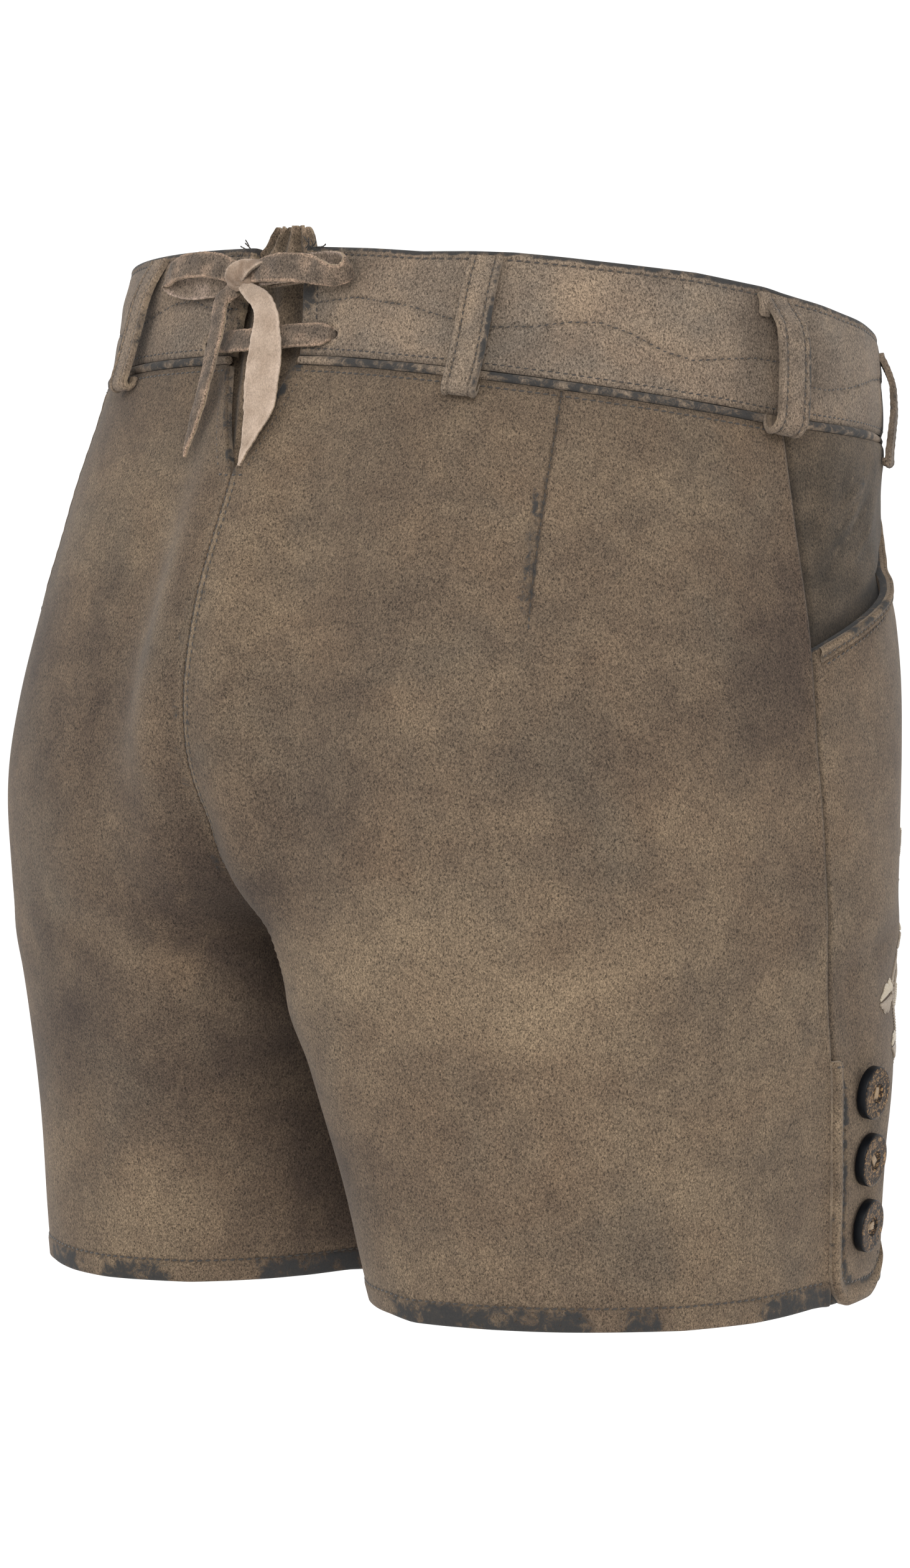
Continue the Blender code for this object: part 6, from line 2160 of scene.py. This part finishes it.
@dataclass
class Sprig:
    """A generic sprig of lobed leaves in satin stitch on the outer thigh, on a corded stem."""

    panel: FrontPanel
    foot: tuple[float, float] = (408.0, 277.0)
    lean: float = 56.0
    height: float = 72.0
    rib: float = 0.95  # from one satin stitch to the next

    LEAVES = (  # share of the way up the stem, turn from upright in degrees, length, width
        (0.06, 60, 20, 11), (0.16, -92, 18, 10), (0.34, 42, 22, 11), (0.42, -98, 19, 10.5),
        (0.6, 34, 19, 10), (0.68, -94, 17, 9.5), (0.84, 24, 15, 8.5), (0.9, -84, 13, 8),
        (1.0, -30, 16, 8.5),
    )

    def stem(self, share: Array) -> tuple[Array, Array]:
        """The stem's distance and drop at shares of its height."""
        sideways = self.foot[0] - self.lean * share + 7 * np.sin(share * 2.8)
        return sideways, self.foot[1] - self.height * share

    def stitch(self, thread: Stitching, start: Array, end: Array) -> None:
        """Lays one satin stitch between two places."""
        line = np.array([start, (start + end) / 2, end])
        run = float(np.linalg.norm(end - start))
        laid = self.panel.trace(line, 0.5)
        thread.sew(*laid, pitch=run * 0.9, length=run + 0.6, radius=0.55, slant=0, sink=-0.3)

    def leaf(
        self, thread: tuple[Stitching, Stitching], foot: Array, turn: float, length: float, width: float,
    ) -> None:
        """Sews a lobed leaf: a pale half, a shaded half and a vein left open between them."""
        ahead = np.array([math.sin(math.radians(turn)), -math.cos(math.radians(turn))])
        wide = np.array([ahead[1], -ahead[0]])
        for place in np.arange(2.0, length, self.rib):
            share = place / length
            lobes = 0.72 + 0.28 * abs(math.cos(3.2 * math.pi * share))
            spread = width / 2 * math.sin(math.pi * share**0.75) * lobes
            for half, hand in zip(thread, (-1, 1)):
                inner = foot + ahead * place + wide * hand * 0.45
                outer = foot + ahead * (place + spread * 0.55) + wide * hand * (0.7 + spread)
                self.stitch(half, inner, outer)

    def build(self) -> None:
        """Sews the stem and its leaves."""
        word = self.panel.side.word
        pale, shade = Stitching(f"sprig_pale_{word}"), Stitching(f"sprig_shade_{word}")
        distance, drop = self.stem(np.linspace(-0.12, 1, 44))
        for offset in (-0.6, 0.6):
            cord = self.panel.trace(np.column_stack([distance + offset, drop]), 0.5)
            shade.sew(*cord, pitch=1.7, length=2.8, radius=0.55, slant=24, sink=-0.25)
        for start, turn, length, width in self.LEAVES:
            foot = np.array([float(v) for v in self.stem(np.array(start))])
            self.leaf((pale, shade), foot, turn, length, width)
        pale.finish(CREAM_THREAD, "embroidery")
        shade.finish(BARK_THREAD, "embroidery")


@dataclass
class LooseEnds:
    """Frayed ends of thread where the band's top stitching stops beside the notch."""

    TUFTS = (  # right, drop, out, and where the end points: right, up, out
        (9.5, 1.2, 0.6, 2.0, 3.2, 1.2), (10.5, 0.8, 0.8, 4.0, 1.8, 1.0), (11.5, 1.5, 0.5, -1.5, 3.8, 1.6),
        (13.5, 0.6, 0.4, 4.5, 0.9, 0.6), (-20.5, 1.0, 0.6, -2.0, 1.8, 1.0),
        (-21.5, 0.6, 0.6, -0.5, 2.4, 1.2), (12.2, 1.0, 0.9, 1.0, 2.2, 2.4),
        (-22.0, 1.2, 0.8, -2.6, 0.8, 1.2),
    )

    def build(self) -> bpy.types.Object:
        """Makes the ends."""
        thread = Stitching("loose_ends")
        share = np.linspace(0, 1, 12)
        for right, drop, out, over, up, off in self.TUFTS:
            curl = np.sin(share * np.pi) * 1.3
            sideways = right + over * share + curl * 0.5
            foot, ways = FORM.back(sideways, np.full_like(share, drop), out + off * share)
            line = foot + np.stack([0 * share, 0 * share, up * share - curl * 0.3], -1)
            thread.sew(line, ways, pitch=0.8, length=1.5, radius=0.3, slant=0, sink=0)
        return thread.finish()


# ---- Camera, light and floor ----


@dataclass
class Studio:
    """The view, a pale floor and soft light."""

    eye: tuple[float, float, float] = (-1.8414, 1.9747, -0.0046)
    view: tuple[int, int] = (1463, 2520)
    focal_pixels: float = 11820.0
    origin_column: float = 810.0  # where the middle of the waist opening falls in the view
    eye_level_row: float = 520.0
    sensor: float = 36.0
    clip: tuple[float, float] = (0.1, 60.0)
    floor_drop: float = 0.72
    floor_radius: float = 30.0
    aim: tuple[float, float, float] = (0.0, 0.0, -0.16)  # what the lights face
    daylight: float = 1.12

    LIGHTS = (  # name, place, size, power
        ("key light", (-2.2, 2.2, 1.6), 1.6, 78.0),
        ("fill light", (0.6, 3.0, 0.6), 1.8, 22.0),
        ("side light", (-2.4, -1.2, 0.5), 1.4, 12.0),
    )

    def camera(self) -> None:
        """Sets the camera at eye level with the waist, to the back and the wearer's right."""
        width, height = self.view
        camera = add_object("camera", bpy.data.cameras.new("camera"))
        camera.data.sensor_fit = "VERTICAL"
        camera.data.sensor_height = self.sensor
        camera.data.lens = self.focal_pixels / height * self.sensor
        camera.data.clip_start, camera.data.clip_end = self.clip
        heading = math.atan2(-self.eye[1], -self.eye[0])
        heading += math.atan((self.origin_column - width / 2) / self.focal_pixels)
        dip = math.atan((height / 2 - self.eye_level_row) / self.focal_pixels)
        camera.location = self.eye
        camera.rotation_euler = (math.pi / 2 - dip, 0.0, heading - math.pi / 2)
        bpy.context.scene.camera = camera

    def light(self, name: str, place: tuple[float, float, float], size: float, power: float) -> None:
        """Adds a square soft light that faces the garment."""
        lamp = bpy.data.lights.new(name, "AREA")
        lamp.shape, lamp.size, lamp.energy = "SQUARE", size, power
        light = add_object(name, lamp)
        light.location = place
        light.rotation_euler = (Vector(self.aim) - Vector(place)).to_track_quat("-Z", "Y").to_euler()

    def build(self) -> None:
        """Makes the world, the lights, the floor and the camera."""
        world = bpy.data.worlds.new("white room")
        world.use_nodes = True
        background = world.node_tree.nodes["Background"]
        background.inputs["Color"].default_value = (1.0, 1.0, 1.0, 1.0)
        background.inputs["Strength"].default_value = self.daylight
        bpy.context.scene.world = world
        bpy.context.scene.view_settings.view_transform = "Standard"
        for light in self.LIGHTS:
            self.light(*light)
        bm = bmesh.new()
        bmesh.ops.create_circle(bm, cap_ends=True, segments=64, radius=self.floor_radius)
        bmesh.ops.translate(bm, verts=bm.verts, vec=(0.0, 0.0, -self.floor_drop))
        mesh = to_mesh(bm, "floor")
        floor = add_object("floor", mesh)
        pale = bpy.data.materials.new("pale matt floor")
        pale.use_nodes = True
        shader = pale.node_tree.nodes["Principled BSDF"]
        shader.inputs["Base Color"].default_value = linear("#fcfbfa")
        shader.inputs["Roughness"].default_value = 0.9
        shader.inputs["Specular IOR Level"].default_value = 0.1
        mesh.materials.append(pale)
        self.camera()


def main() -> None:
    """Builds the garment and the studio."""
    logging.basicConfig(level=logging.INFO, format="%(message)s")
    Studio().build()
    for side in Side:
        Waistband(side).build()
        BackPanel(side).build()
        front = FrontPanel(side)
        front.build()
        HipPiece(side).build()
        PocketWelt(front).build()
        for where in BeltLoop.TURN_DROP:
            BeltLoop(side, where).build()
        LegPlacket(side).build()
        Sprig(front).build()
    SeamAllowance().build()
    Gusset().build()
    Bow().build()
    LooseEnds().build()
    FrontFlap().build()


if __name__ == "__main__":
    main()
